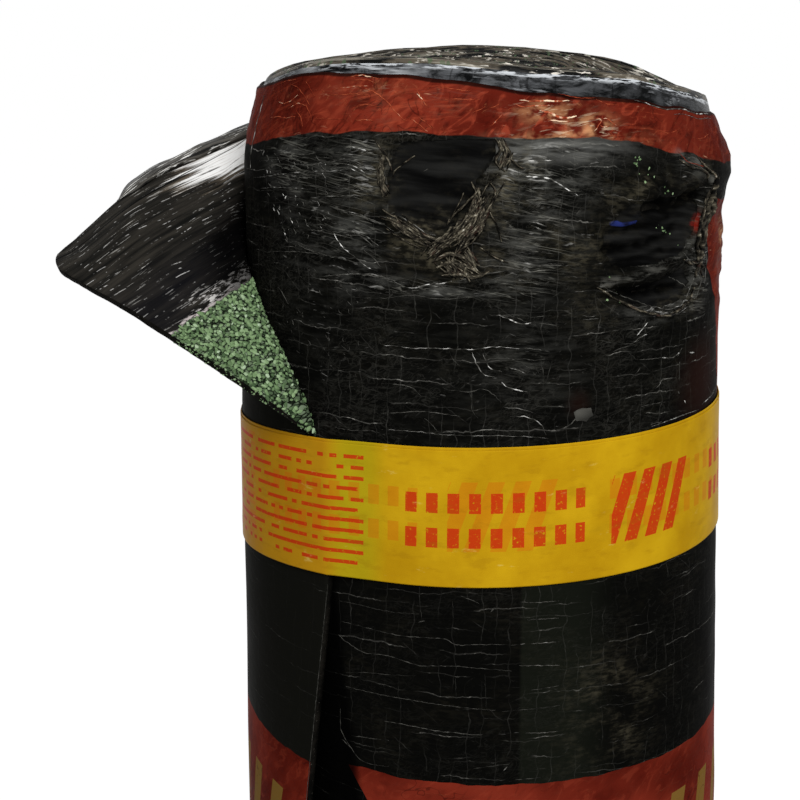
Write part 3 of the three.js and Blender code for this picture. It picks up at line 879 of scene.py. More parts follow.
def add(tree, kind, inputs=None, **settings):
    node = tree.nodes.new("ShaderNode" + kind)
    for name, value in settings.items():
        setattr(node, name, value)
    for key, value in (inputs or {}).items():
        give(node.inputs[key], value)
    return node


def outputs_of(node):
    return {socket.name: Field(socket) for socket in node.outputs}


def made(tree, kind, inputs=None, output=0, **settings):
    """One output of a new node."""
    return Field(add(tree, kind, inputs, **settings).outputs[output])


def tree_of(inputs):
    return next(value.tree for value in inputs.values() if isinstance(value, Field))


def made_from(kind, inputs, output=0, **settings):
    """The same in the tree of its inputs."""
    return made(tree_of(inputs), kind, inputs, output, **settings)


def maths(operation, first, second=0.0, clamp=False):
    return made_from("Math", {0: first, 1: second}, operation=operation, use_clamp=clamp)


def larger(first, second):
    return maths("MAXIMUM", first, second)


def ramp_mask(value, low, high):
    """0 below low and 1 above high, eased between."""
    return made_from("MapRange", {"Value": value, "From Min": low, "From Max": high}, "Result",
                     interpolation_type="SMOOTHSTEP")


def between(value, start, full, stays, end):
    """1 from full to stays, eased to 0 at start and end."""
    return ramp_mask(value, start, full) * ramp_mask(value, end, stays)


def band_mask(value, wide, thin):
    """1 where value is within thin of one half, and 0 beyond wide."""
    return ramp_mask(abs(value - 0.5), wide, thin)


def blend(share, first, second):
    return made_from("Mix", {0: share, 6: first, 7: second}, 2, data_type="RGBA")


def colour_ramp(level, first, last, *others):
    """Colours for a level of 0 to 1; the others, between first and last, are (level, colour)."""
    node = add(level.tree, "ValToRGB", {0: level})
    stops = node.color_ramp.elements
    stops[0].color = first
    stops[1].color = last
    for spot, colour in others:
        stops.new(spot).color = colour
    return Field(node.outputs[0])


def parts_of(vector):
    """Its three parts: along and down a sheet, and nothing."""
    node = add(vector.tree, "SeparateXYZ", {0: vector})
    return [Field(part) for part in node.outputs]


def scaled(vector, x, y, z=1.0):
    return made_from("VectorMath", {0: vector, 1: (x, y, z)}, operation="MULTIPLY")


def spun(vector, turn):
    return made_from("Mapping", {"Vector": vector, "Rotation": (0, 0, turn)})


def noise_at(vector, scale, detail=2.0, roughness=0.5, distortion=0.0):
    return made_from("TexNoise", {"Vector": vector, "Scale": scale, "Detail": detail,
                                  "Roughness": roughness, "Distortion": distortion}, "Fac")


def grain_at(vector, along, down, detail=2.0, roughness=0.5, distortion=0.0):
    """Noise with its own scale along and down the sheet."""
    return noise_at(scaled(vector, along, down), 1.0, detail, roughness, distortion)


def seen_directly(tree):
    """1 for camera, glossy and transmission rays, 0 for those that carry light."""
    rays = outputs_of(add(tree, "LightPath"))
    seen = rays["Is Camera Ray"] + rays["Is Glossy Ray"]
    return maths("ADD", seen, rays["Is Transmission Ray"], True)


def mask_attribute(tree, name):
    return made(tree, "Attribute", None, "Fac", attribute_name=name)


def sheet_of(tree):
    """Metres along and down the sheet."""
    return made(tree, "UVMap", uv_map="sheet")


def object_place(tree):
    return made(tree, "TexCoord", None, "Object")


def new_group(name, inputs, outputs, colours=()):
    """A node group: its inputs as Fields, and its output sockets.

    Each input has its usual value, or None for a vector. Outputs named in colours are colours."""
    tree = bpy.data.node_groups.new(name, "ShaderNodeTree")
    for label, value in inputs.items():
        kind = "NodeSocketVector" if value is None else "NodeSocketFloat"
        socket = tree.interface.new_socket(label, in_out="INPUT", socket_type=kind)
        if value is not None:
            socket.default_value = value
    for label in outputs:
        kind = "NodeSocketColor" if label in colours else "NodeSocketFloat"
        tree.interface.new_socket(label, in_out="OUTPUT", socket_type=kind)
    given = outputs_of(tree.nodes.new("NodeGroupInput"))
    return {label: given[label] for label in inputs}, tree.nodes.new("NodeGroupOutput").inputs, tree


def use_group(group, **inputs):
    """A group's outputs as Fields, by their names."""
    node = tree_of(inputs).nodes.new("ShaderNodeGroup")
    node.node_tree = group
    for key, value in inputs.items():
        give(node.inputs[key], value)
    return outputs_of(node)


def surface_of(material):
    """The inputs of its shader."""
    return material.node_tree.nodes["Principled BSDF"].inputs


def new_material(name, colour, roughness, specular=0.5):
    material = bpy.data.materials.new(name)
    material.use_nodes = True
    surface = surface_of(material)
    give(surface["Base Color"], colour)
    give(surface["Roughness"], roughness)
    give(surface["Specular IOR Level"], specular)
    return material, material.node_tree


def finished(material, colour, roughness, height, strength, distance):
    surface = surface_of(material)
    give(surface["Base Color"], colour)
    give(surface["Roughness"], roughness)
    bump = {"Height": height, "Strength": strength, "Distance": distance}
    give(surface["Normal"], made_from("Bump", bump, "Normal"))
    return material


# ---- materials: shared effects

def crease_net_group():
    """Creases in thin film as painted highlights: long lines along the sheet, bright in dashes, crossed
    by faint ones.
    """
    given, out, tree = new_group("crease_net", {"Vector": None}, ["Lines", "Height"])
    flat = given["Vector"]
    slow = noise_at(flat, 24.0, 2.0) - 0.5
    quick = noise_at(flat, 95.0, 2.0) - 0.5
    jag = noise_at(flat, 430.0, 1.0) - 0.5
    along, down = parts_of(flat)[:2]
    x = along + quick * 0.006
    y = down + (slow * 0.007 + quick * 0.0028 + jag * 0.0011)

    def lines_along(value, other, pitch, thin, often, dashes, reach=26.0):
        """Thin lines a pitch apart, shown in stretches and there bright in dashes."""
        turned = value / pitch
        line = band_mask(maths("FRACT", turned), thin * 3.2 / pitch, thin / pitch)
        number = maths("FLOOR", turned)
        spot = made_from("CombineXYZ", {0: other, 1: number * 0.37})
        shown = ramp_mask(grain_at(spot, reach, 3.0, 2.0), often, often + 0.16)
        bright = ramp_mask(grain_at(spot, 260.0, 9.0, 2.0, 0.6), 0.52, 0.66)
        level = bright * (1.0 - dashes) + dashes
        return line * (shown * level)

    long = lines_along(y, x, 0.0090, 0.00008, 0.48, 0.22, 34.0)
    short = lines_along(y + 0.0031, x, 0.0047, 0.00007, 0.54, 0.18)
    upright = lines_along(x, y, 0.0056, 0.00008, 0.45, 0.4, 42.0)
    slant = y * 0.8 - (along * 0.6 + slow * 0.012)
    slant = lines_along(slant, x, 0.0087, 0.00008, 0.58, 0.3, 70.0)
    lines = larger(larger(larger(long, short * 0.6), upright * 0.14), slant * 0.2)
    give(out["Lines"], lines)
    give(out["Height"], lines + noise_at(flat, 48.0, 3.0, 0.6) * 0.8)
    return tree


def glint_group():
    """Painted highlights: short bright streaks where film is drawn tight."""
    usual = {"Vector": None, "Wide": 60.0, "Tall": 480.0, "Amount": 0.5}
    given, out, tree = new_group("film_glints", usual, ["Glints"])
    bend = noise_at(given["Vector"], 42.0, 2.0) - 0.5
    lift = made_from("CombineXYZ", {0: 0.0, 1: bend * 0.010, 2: 0.0})
    moved = made_from("VectorMath", {0: given["Vector"], 1: lift})
    stretch = made_from("CombineXYZ", {0: given["Wide"], 1: given["Tall"], 2: 0.0})
    flecks = made_from("VectorMath", {0: moved, 1: stretch}, operation="MULTIPLY")
    streaks = noise_at(flecks, 1.0, 3.0, 0.7)
    field = noise_at(given["Vector"], 85.0, 3.0, 0.65)
    level = streaks + field * 0.5
    floor = 1.02 - given["Amount"] * 0.20
    over = maths("MULTIPLY", level - floor, 5.0, True)
    give(out["Glints"], over * ramp_mask(given["Amount"], 0.05, 0.25))
    return tree


def dust_group():
    """Cloudy veil of pale dust."""
    given, out, tree = new_group("dust_veil", {"Vector": None, "Amount": 0.5}, ["Dust"])
    cloud = noise_at(given["Vector"], 38.0, 5.0, 0.65)
    fibre = grain_at(given["Vector"], 190.0, 620.0, 3.0, 0.6)
    veil = ramp_mask(cloud, 0.41, 0.70)
    speck = veil * (ramp_mask(fibre, 0.42, 0.62) + 0.12)
    give(out["Dust"], maths("MULTIPLY", speck, given["Amount"], True))
    return tree


def chip_group():
    """Crushed slate chips seen as a surface: greens, with dark gaps between them."""
    usual = {"Vector": None, "Scale": 650.0}
    given, out, tree = new_group("slate_chips", usual, ["Color", "Height"], ["Color"])
    chips = made_from("TexVoronoi", given, "Color")
    edge = made_from("TexVoronoi", given, "Distance", feature="DISTANCE_TO_EDGE")
    shade = made_from("SeparateColor", {0: chips})
    greens = colour_ramp(shade, tone(48, 66, 44), tone(150, 170, 138), (0.5, tone(96, 118, 86)))
    solid = ramp_mask(edge, 0.02, 0.16)
    give(out["Color"], blend(solid, tone(14, 18, 13), greens))
    give(out["Height"], solid * (shade + 0.4))
    return tree


CREASE_NET = crease_net_group()
GLINTS = glint_group()
DUST = dust_group()
CHIPS = chip_group()

# ---- materials: the felt

RED_STRIPE = 0.0205          # printed stripe along the top edge
PANEL_TOP = 0.2765           # printed panel further down
PANEL_BOTTOM = 0.395
GLARE_AT = (-0.182, 0.0085)  # where the peeled selvedge catches the light, along and down its streaks
GLARE_SIZE = (0.044, 0.0195)
FILM_BLACK = tone(14, 14, 12)
DEEP_SHADE = tone(3, 3, 3)
STRIPE_LIMIT = 0.1           # print above this depth is the stripe's
BELOW_TAPE = (0.186, 0.194)  # the look of the film changes between these depths
BAR_PITCH = 0.0235           # gold bars on the panel
BAR_SHARE = 0.44
BAR_SLANT = 0.22
BAR_MARGIN = 0.020
# wrinkles of the film, shown as painted glints
WRINKLES = ((0.7, 150.0, 560.0, 0.62), (-0.5, 170.0, 620.0, 0.58))   # turn, scales and amount


def printed_mask(sheet, panel_edge, panel_slant, panel_side):
    """Mask of the red print; the panel starts or ends at panel_edge along the sheet."""
    shift = (noise_at(sheet, 60.0, 3.0) - 0.5) * 0.0035
    along, down = [part + shift for part in parts_of(sheet)[:2]]
    stripe = ramp_mask(down, RED_STRIPE + 0.0003, RED_STRIPE - 0.0003)
    edge = (down - PANEL_TOP) * panel_slant + panel_edge
    panel = (down > PANEL_TOP) * (down < PANEL_BOTTOM) * maths(panel_side, along, edge)
    return larger(stripe, panel)


def red_film(sheet, above, cloud, broad, gold):
    """The red print, folded and cracked, with gold bars on its panel."""
    along, down = parts_of(sheet)[:2]
    folds = grain_at(spun(sheet, 0.7), 80.0, 190.0, 4.0, 0.6, 1.2)
    red = blend(ramp_mask(broad, 0.36, 0.62), tone(80, 21, 13), tone(120, 41, 27))
    lively = above * 0.65 + 0.35
    # painted light and shade on the folds
    red = blend(ramp_mask(folds, 0.52, 0.66) * (lively * 0.75), red, tone(142, 57, 38))
    red = blend(ramp_mask(folds, 0.47, 0.34) * (lively * 0.65), red, tone(58, 14, 9))
    step = along + down * BAR_SLANT
    bars = maths("FRACT", (step + 1.0) / BAR_PITCH) < BAR_SHARE
    bars = bars * (down > PANEL_TOP + BAR_MARGIN)
    bars = bars * (down < PANEL_BOTTOM - BAR_MARGIN)
    red = blend(bars * 0.92, red, tone(122, 94, 42))
    # painted highlights: flowing lines, and the gold shine and its crests
    tipped = spun(sheet, 0.14)
    flow = grain_at(tipped, 42.0, 520.0, 4.0, 0.62, 0.5)
    flow = ramp_mask(flow, 0.53, 0.64) * ramp_mask(cloud, 0.42, 0.58) * above
    red = blend(flow * 0.26, red, tone(190, 84, 54))
    shine = gold * ramp_mask(grain_at(sheet, 130.0, 210.0, 3.0, 0.55, 0.3), 0.40, 0.64)
    red = blend(shine * 0.95, red, tone(212, 154, 108))
    crest = ramp_mask(grain_at(tipped, 110.0, 640.0, 3.0, 0.6, 0.4), 0.55, 0.64) * gold
    red = blend(crest * 0.6, red, tone(250, 232, 196))
    across = spun(sheet, -0.5)
    leather = band_mask(noise_at(across, 170.0, 2.0, 0.5, 0.9), 0.020, 0.004)
    leather = leather * (ramp_mask(along, -0.074, -0.090) * above)
    red = blend(leather * 0.45, red, tone(38, 11, 8))
    seam = band_mask(noise_at(across, 75.0, 2.0, 0.5, 0.5), 0.012, 0.003)
    red = blend(seam * ramp_mask(cloud, 0.50, 0.62) * 0.55, red, tone(46, 12, 9))
    # painted shade towards both sides, where the roll turns away from the light
    side_shade = larger(ramp_mask(along, 0.044, 0.096), ramp_mask(along, -0.050, -0.100) * 0.7)
    return blend(side_shade * (above * 0.46), red, tone(58, 14, 9))


def black_film(sheet, base, crispness, calm, cloud, streaky, scrap, gold):
    """The plain film: fibrous, finely creased, red showing through in places."""
    fibre = ramp_mask(streaky, 0.42, 0.70) * calm
    black = blend(fibre * 0.55 * crispness, base, tone(30, 30, 27))
    arcs = band_mask(grain_at(sheet, 75.0, 240.0, 3.0, 0.6, 1.1), 0.030, 0.004)
    askew = band_mask(grain_at(spun(sheet, 0.7), 110.0, 260.0, 3.0, 0.6, 0.9), 0.026, 0.004)
    fine = larger(arcs, askew * 0.7) * (ramp_mask(cloud, 0.40, 0.60) * (calm * 0.75 + 0.25))
    black = blend(fine * 0.40 * crispness, black, tone(66, 65, 60))
    black = blend(ramp_mask(scrap, 0.05, 0.25) * 0.85, black, tone(34, 18, 14))
    black = blend(ramp_mask(scrap, 0.27, 0.40), black, tone(92, 20, 13))
    # painted grey sheen on the black film where the print gleams nearby
    lustre = gold * ramp_mask(grain_at(sheet, 34.0, 190.0, 3.0, 0.6), 0.34, 0.66)
    return blend(lustre * 0.85, black, tone(128, 128, 124))


def film_material(name, panel_edge, panel_slant, panel_side, crispness, base, gap_at):
    """Torch-off film over bitumen: black and thin, printed red, torn open in places.

    gap_at is where the turn below the tape lies in the shade of the tail's cut edge, if it does."""
    material, tree = new_material(name, FILM_BLACK, 0.35, 0.001)
    sheet = sheet_of(tree)
    along, down = parts_of(sheet)[:2]
    torn, dusty, glint_and_sheen, folded, scrap, gold = [
        mask_attribute(tree, mask) for mask in ("torn", "dusty", "glint_and_sheen", "folded", "scraps", "gold")]
    cloud = noise_at(sheet, 24.0, 4.0, 0.6)
    broad = noise_at(sheet, 17.0, 3.0, 0.55)
    streaky = grain_at(sheet, 70.0, 340.0, 4.0, 0.62)
    dust = use_group(DUST, Vector=sheet, Amount=dusty)["Dust"]
    below_tape = ramp_mask(down, *BELOW_TAPE)
    if gap_at is not None:
        behind = ramp_mask(along, -0.19, -0.28)
        dust = dust * (1.0 - behind)
        crispness = crispness - behind * (crispness - 0.12)
        base = blend(behind, base, tone(18, 18, 15))
        lit = between(along, 0.0118, 0.0136, 0.034, 0.056) * below_tape
        base = blend(lit * 0.9, base, tone(19, 21, 16))

    # torn places, and the creases that run over the whole sheet
    edge = torn + (noise_at(sheet, 300.0, 4.0, 0.7) - 0.5) * 0.6
    bare = ramp_mask(edge, 0.46, 0.54)
    covered = 1.0 - bare
    shade = between(edge, 0.48, 0.58, 0.58, 0.98) * ramp_mask(noise_at(sheet, 60.0, 2.0), 0.34, 0.56)
    net = use_group(CREASE_NET, Vector=sheet)
    glints = use_group(GLINTS, Vector=sheet, Amount=glint_and_sheen)["Glints"]
    wrinkles = larger(*[use_group(GLINTS, Vector=spun(sheet, turn), Wide=wide, Tall=tall,
                                  Amount=amount)["Glints"] for turn, wide, tall, amount in WRINKLES])

    # the print and the plain film, with painted highlights: the light that their creases catch, and
    # glints, sheen and threads where the film is drawn tight
    above = down < STRIPE_LIMIT
    printed = larger(printed_mask(sheet, panel_edge, panel_slant, panel_side),
                     ramp_mask(scrap, 0.45, 0.55))
    stripe = printed * above
    calm = made_from("MapRange", {"Value": down, "From Min": 0.13, "From Max": 0.20, "To Min": 1.0,
                                  "To Max": 0.12}, "Result")
    black = black_film(sheet, base, crispness, calm, cloud, streaky, scrap, gold)
    colour = blend(printed, black, red_film(sheet, above, cloud, broad, gold))
    pale = blend(printed, tone(168, 166, 158), tone(206, 128, 86))
    creased = net["Lines"] * (1.0 - printed * 0.78) * ((calm * 0.4 + 0.6) * crispness)
    colour = blend(creased, colour, pale)
    colour = blend(wrinkles * larger(stripe * 0.32, glint_and_sheen * 0.35), colour, pale)
    sheen = ramp_mask(grain_at(sheet, 60.0, 240.0, 4.0, 0.65), 0.44, 0.70)
    sheen = sheen * (ramp_mask(glint_and_sheen, 0.15, 0.85) * (1.0 - stripe))
    colour = blend(sheen * 0.36, colour, tone(108, 108, 103))
    threads = band_mask(grain_at(spun(sheet, -0.17), 24.0, 330.0, 3.0, 0.55, 0.35), 0.020, 0.003)
    threads = threads * (ramp_mask(glint_and_sheen, 0.30, 0.75) * ramp_mask(broad, 0.40, 0.60))
    colour = blend(threads * (0.48 - stripe * 0.38), colour, tone(138, 137, 128))
    colour = blend(glints * 0.85, colour, blend(stripe, tone(196, 195, 190), tone(232, 178, 140)))

    # bitumen in the tears, scraps of print, shade and dust
    bitumen = ramp_mask(grain_at(sheet, 26.0, 210.0, 4.0), 0.35, 0.72)
    colour = blend(bare, colour, blend(bitumen, tone(9, 9, 9), tone(33, 33, 32)))
    showing = ramp_mask(scrap, 0.22, 0.48) * ramp_mask(streaky, 0.36, 0.60)
    showing = showing * larger(bare, ramp_mask(scrap, 0.56, 0.50))
    colour = blend(showing * 0.9, colour, tone(110, 22, 14))
    # painted shadow along the top of the stripe, under the edge of the proud turn
    brim_shadow = mask_attribute(tree, "brim_shadow") + (cloud - 0.5) * 0.7
    colour = blend(ramp_mask(brim_shadow, 0.45, 0.85) * 0.9, colour, tone(14, 7, 6))
    blue = ramp_mask(scrap, -0.40, -0.65) * ramp_mask(streaky, 0.40, 0.58)
    colour = blend(blue, colour, tone(36, 46, 104))
    colour = blend(shade * 0.6, colour, DEEP_SHADE)
    # painted shade in the furrows, and painted highlights on the folds' ridges
    colour = blend(ramp_mask(folded, -0.12, -0.85) * 0.9, colour, DEEP_SHADE)
    caught = ramp_mask(folded, 0.06, 0.9) * ramp_mask(streaky, 0.46, 0.62) * (0.5 - bare * 0.32)
    colour = blend(caught, colour, blend(bare, tone(128, 127, 120), tone(88, 92, 100)))
    colour = blend(dust, colour, tone(96, 90, 73))
    if gap_at is not None:
        past = along - ((down - 0.2) * 0.134 + gap_at)
        gap = ramp_mask(past, 0.0045, -0.0010) * below_tape
        colour = blend(gap * 0.9, colour, tone(2, 2, 2))
    rough = larger(larger(cloud * 0.2 + 0.3, bare * 0.6), dust * 0.9)
    ripple = noise_at(scaled(sheet, 1.0, 3.0), 120.0, 4.0, 0.55)
    height = net["Height"] * covered + ripple * 0.5 + wrinkles * 0.5 + covered * 1.2
    return finished(material, colour, rough, height, 0.6, 0.5 * MM)


def selvedge_material():
    """Inner face of the sheet: film on the selvedge strip, chips below it."""
    material, tree = new_material("inner_face", FILM_BLACK, 0.3, 0.004)
    sheet = sheet_of(tree)
    along, depth = parts_of(sheet)[:2]
    past = SELVEDGE_FROM - along
    down = depth - maths("MINIMUM", larger(past, 0.0), SELVEDGE_REACH) * SELVEDGE_SLOPE
    ragged = down + (noise_at(sheet, 130.0, 3.0) - 0.5) * 0.004
    chipped = ramp_mask(ragged, SELVEDGE - 0.0004, SELVEDGE + 0.0004)
    across = depth - past * SELVEDGE_SLOPE
    laid = made_from("CombineXYZ", {0: along, 1: across})
    streaks = grain_at(laid, 46.0, 900.0, 2.0, 0.6)
    breaks = grain_at(laid, 150.0, 420.0, 3.0, 0.7)
    crowd = noise_at(sheet, 34.0, 3.0, 0.6)
    glare_along = (along - GLARE_AT[0]) / GLARE_SIZE[0]
    glare_down = (across - GLARE_AT[1]) / GLARE_SIZE[1]
    far = glare_along * glare_along + glare_down * glare_down
    feather = grain_at(laid, 16.0, 330.0, 3.0, 0.6) - 0.5
    glare = ramp_mask(far + feather * 2.2, 1.0, 0.0)
    hem = ramp_mask(down, SELVEDGE - 0.013, SELVEDGE - 0.003)
    hem = hem * (ramp_mask(along, -0.087, -0.098) * 0.85 + 0.15)
    drawn = larger(glare, hem)
    # painted highlights: pale streaks along the film, brightest in the glare and along the hem
    low = 0.70 - drawn * 0.25 - hem * 0.07 - ramp_mask(crowd, 0.34, 0.66) * 0.11
    pale = made_from("MapRange", {"Value": streaks, "From Min": low, "From Max": low + 0.07}, "Result")
    pale = pale * larger(ramp_mask(breaks, 0.47, 0.58), glare)
    cloud = grain_at(laid, 18.0, 240.0, 5.0, 0.66)
    film = blend(ramp_mask(cloud, 0.34, 0.70), tone(18, 18, 17), tone(52, 49, 44))
    film = blend(pale * 0.9, film, blend(drawn, tone(180, 178, 172), tone(240, 236, 232)))
    # painted highlights: short pale dashes in rows along the film
    drift = (noise_at(sheet, 20.0, 2.0) - 0.5) * 0.014
    turned = (across + drift) / 0.0033
    spot = made_from("CombineXYZ", {0: along, 1: maths("FLOOR", turned) * 0.37})
    shown = ramp_mask(grain_at(spot, 130.0, 3.0, 3.0, 0.7), 0.54, 0.60)
    field = ramp_mask(noise_at(sheet, 38.0, 2.0), 0.36, 0.66)
    shown = shown * (field * 0.85 + 0.15)
    dashes = band_mask(maths("FRACT", turned), 0.085, 0.03) * shown
    low_down = ramp_mask(down, 0.036, 0.062) * (0.6 - hem * 0.55)
    film = blend(low_down, film, tone(15, 15, 20))
    film = blend(dashes * 0.9, film, tone(190, 189, 186))
    # painted highlight: the glare's white, streaky core, with a brownish rim round it
    core = ramp_mask(glare, 0.35, 0.95)
    around = ramp_mask(glare, 0.0, 0.3) * (1.0 - core)
    film = blend(around * ramp_mask(cloud, 0.4, 0.6) * 0.5, film, tone(120, 108, 92))
    fine = grain_at(laid, 22.0, 560.0, 3.0, 0.65)
    fine = ramp_mask(fine + core * 0.08, 0.46, 0.53)
    core = core * (fine * 0.94 + 0.04)
    film = blend(core, film, tone(250, 250, 248))
    # painted shade in the valley where the flap meets the roll
    from_axis = made_from("VectorMath", {0: object_place(tree), 1: tuple(AXIS)}, operation="SUBTRACT")
    gap = made_from("VectorMath", {0: scaled(from_axis, 1.0, 1.0, 0.0)}, "Value", operation="LENGTH")
    valley_shade = ramp_mask(gap, 0.134, 0.110) * ramp_mask(down, 0.034, 0.052)
    # painted shadow under the rolled rim
    rim_shadow = ramp_mask(down, 0.0066, 0.0058) * ramp_mask(down, 0.0048, 0.0056)
    film = blend(rim_shadow, film, tone(6, 6, 6))
    bound = ramp_mask(ragged, SELVEDGE - 0.0014, SELVEDGE - 0.0008) * ramp_mask(breaks, 0.40, 0.50)
    film = blend(bound * 0.85, film, tone(196, 186, 184))
    film = blend(valley_shade * 0.85, film, DEEP_SHADE)
    chips = use_group(CHIPS, Vector=sheet)
    colour = blend(chipped, film, blend(0.45, chips["Color"], tone(16, 20, 14)))
    rough = chipped * 0.6 + 0.24
    height = streaks * 0.8 + chips["Height"] * chipped
    return finished(material, colour, rough, height, 0.6, 0.5 * MM)


def chip_surface_material():
    """The chipped face where it is only seen from afar, as in the bore."""
    material, tree = new_material("chipped_face", tone(90, 110, 82), 0.85, 0.1)
    place_on = object_place(tree)
    chips = use_group(CHIPS, Vector=place_on)
    rough = chips["Height"] * 0.15 + 0.75
    return finished(material, chips["Color"], rough, chips["Height"], 0.7, 0.6 * MM)


def cut_edge_material():
    """Cut through the sheet: black bitumen with a few pale specks."""
    material, tree = new_material("cut_edge", tone(18, 17, 15), 0.7, 0.01)
    place_on = object_place(tree)
    cloud = noise_at(place_on, 160.0, 5.0, 0.65)
    grain = noise_at(place_on, 1100.0, 3.0, 0.7)
    colour = blend(ramp_mask(cloud, 0.35, 0.68), tone(7, 7, 6), tone(24, 22, 19))
    colour = blend(ramp_mask(grain, 0.66, 0.76), colour, tone(110, 106, 98))
    rough = grain * 0.3 + 0.5
    return finished(material, colour, rough, grain, 0.6, 0.4 * MM)


def crown_material():
    """Edges of the turns: film and bitumen pressed together, streaked along the sheet."""
    material, tree = new_material("turn_crowns", tone(40, 38, 35), 0.5, 0.06)
    sheet = sheet_of(tree)
    place_on = object_place(tree)
    along = scaled(sheet, 1.0, 6.0)
    streak = noise_at(along, 24.0, 4.0, 0.62)
    fleck = noise_at(along, 60.0, 3.0, 0.6)
    colour = blend(ramp_mask(streak, 0.46, 0.55), tone(5, 5, 5), tone(86, 79, 68))
    layers = grain_at(sheet, 14.0, 640.0, 3.0, 0.6)
    colour = blend(ramp_mask(layers, 0.55, 0.62) * 0.6, colour, tone(150, 145, 132))
    colour = blend(ramp_mask(layers, 0.47, 0.40) * 0.8, colour, tone(6, 6, 6))
    # painted glints: pale flecks and thin white streaks along the sheet
    colour = blend(ramp_mask(fleck, 0.60, 0.67) * 0.8, colour, tone(196, 190, 178))
    spark = ramp_mask(grain_at(sheet, 130.0, 760.0, 3.0, 0.65), 0.57, 0.63)
    crowd = ramp_mask(noise_at(place_on, 46.0, 2.0), 0.46, 0.58)
    colour = blend(spark * (crowd * 0.95), colour, tone(222, 216, 204))
    chips = made_from("TexVoronoi", {"Vector": sheet, "Scale": 640.0}, "Color")
    picked = made_from("SeparateColor", {0: chips}, 1)
    colour = blend(ramp_mask(picked, 0.95, 0.97) * 0.7, colour, tone(70, 90, 64))
    rough = fleck * 0.3 + 0.30
    return finished(material, colour, rough, fleck, 0.7, 0.5 * MM)


def band_film_material():
    """Film on the turns that stand proud: grey in mottles from a painted reflection, with painted glints
    along its upper edge.
    """
    material, tree = new_material("proud_film", tone(40, 41, 43), 0.3, 0.02)
    sheet = sheet_of(tree)
    down = parts_of(sheet)[1]
    streak = grain_at(sheet, 80.0, 800.0, 3.0, 0.65)
    cloud = grain_at(sheet, 90.0, 260.0, 5.0, 0.68, 0.5)
    place_on = object_place(tree)
    side = parts_of(place_on)[0]
    right = ramp_mask(side, AXIS.x - 0.01, AXIS.x + 0.05)
    colour = blend(ramp_mask(cloud, 0.38, 0.66), tone(9, 10, 11), tone(98, 100, 103))
    colour = blend(right * 0.6, colour, tone(12, 13, 13))
    upright = grain_at(sheet, 210.0, 60.0, 3.0, 0.6, 0.5)
    colour = blend(ramp_mask(upright, 0.60, 0.66) * 0.75, colour, tone(9, 9, 10))
    glints = use_group(GLINTS, Vector=sheet, Wide=45.0, Tall=420.0, Amount=0.85)["Glints"]
    top = ramp_mask(down, 0.0046, 0.0026) * ramp_mask(streak, 0.49, 0.55)
    # painted gloss towards the left
    gloss = grain_at(sheet, 30.0, 300.0, 3.0, 0.6)
    gloss = ramp_mask(gloss, 0.47, 0.58) * ramp_mask(side, AXIS.x - 0.02, AXIS.x - 0.045)
    gloss = gloss * ramp_mask(side, AXIS.x - 0.080, AXIS.x - 0.060)
    left = ramp_mask(side, AXIS.x - 0.062, AXIS.x - 0.080)
    colour = blend(left * 0.55, colour, tone(22, 21, 19))
    pale = larger(glints * 0.6, top * 0.9)
    pale = pale * (1.0 - left * 0.6)
    pale = larger(pale, gloss * 0.85)
    colour = blend(pale, colour, tone(204, 208, 212))
    rough = cloud * 0.2 + 0.2
    return finished(material, colour, rough, streak, 0.6, 0.5 * MM)


def chip_material():
    """Loose slate chips, each with its own shade."""
    material, tree = new_material("slate_chip", tone(95, 114, 85), 0.75, 0.15)
    shade = mask_attribute(tree, "shade")
    greens = colour_ramp(shade, tone(54, 76, 46), tone(178, 200, 166), (0.45, tone(114, 141, 97)),
                         (0.75, tone(145, 172, 126)))
    place_on = object_place(tree)
    grain = noise_at(place_on, 2600.0, 3.0, 0.6)
    colour = blend(grain * 0.35, greens, tone(60, 78, 56))
    rough = grain * 0.3 + 0.55
    return finished(material, colour, rough, grain, 0.5, 0.15 * MM)


def strand_material():
    """Torn film drawn into strands, dusty and streaked along their length."""
    material, tree = new_material("torn_strands", tone(60, 55, 45), 0.5, 0.03)
    strand = sheet_of(tree)
    streak = grain_at(strand, 320.0, 900.0, 3.0, 0.65)
    cloud = noise_at(strand, 190.0, 3.0, 0.6)
    level = (streak + cloud) * 0.5 - 0.5
    # the shade attribute paints light on the strands' crests and shade between them
    level = mask_attribute(tree, "shade") + level
    colour = blend(ramp_mask(level, 0.06, 0.42), tone(9, 8, 7), tone(54, 50, 42))
    colour = blend(ramp_mask(level, 0.42, 0.72), colour, tone(104, 98, 83))
    colour = blend(ramp_mask(level, 0.74, 0.96), colour, tone(190, 185, 170))
    colour = blend(ramp_mask(cloud, 0.56, 0.68) * 0.3, colour, tone(66, 36, 30))
    rough = streak * 0.4 + 0.3
    return finished(material, colour, rough, streak, 0.8, 0.4 * MM)


def lip_material():
    """The peeled edge's rolled rim of film."""
    material, tree = new_material("rolled_rim", tone(60, 59, 56), 0.35, 0.08)
    sheet = sheet_of(tree)
    streak = grain_at(sheet, 24.0, 560.0, 4.0, 0.65)
    spark = grain_at(sheet, 60.0, 900.0, 3.0, 0.65)
    colour = blend(ramp_mask(streak, 0.40, 0.62), tone(9, 9, 9), tone(84, 81, 75))
    # painted glints
    colour = blend(ramp_mask(spark, 0.57, 0.64), colour, tone(236, 235, 230))
    rough = spark * 0.3 + 0.2
    return finished(material, colour, rough, streak, 0.7, 0.4 * MM)


def crease_material(name, dull, middle, bright):
    """A crease of film that catches the light by its shade."""
    material, tree = new_material(name, middle, 0.4, 0.01)
    shade = mask_attribute(tree, "shade")
    colour = blend(ramp_mask(shade, 0.0, 0.5), dull, middle)
    colour = blend(ramp_mask(shade, 0.45, 1.0), colour, bright)
    give(surface_of(material)["Base Color"], colour)
    return material


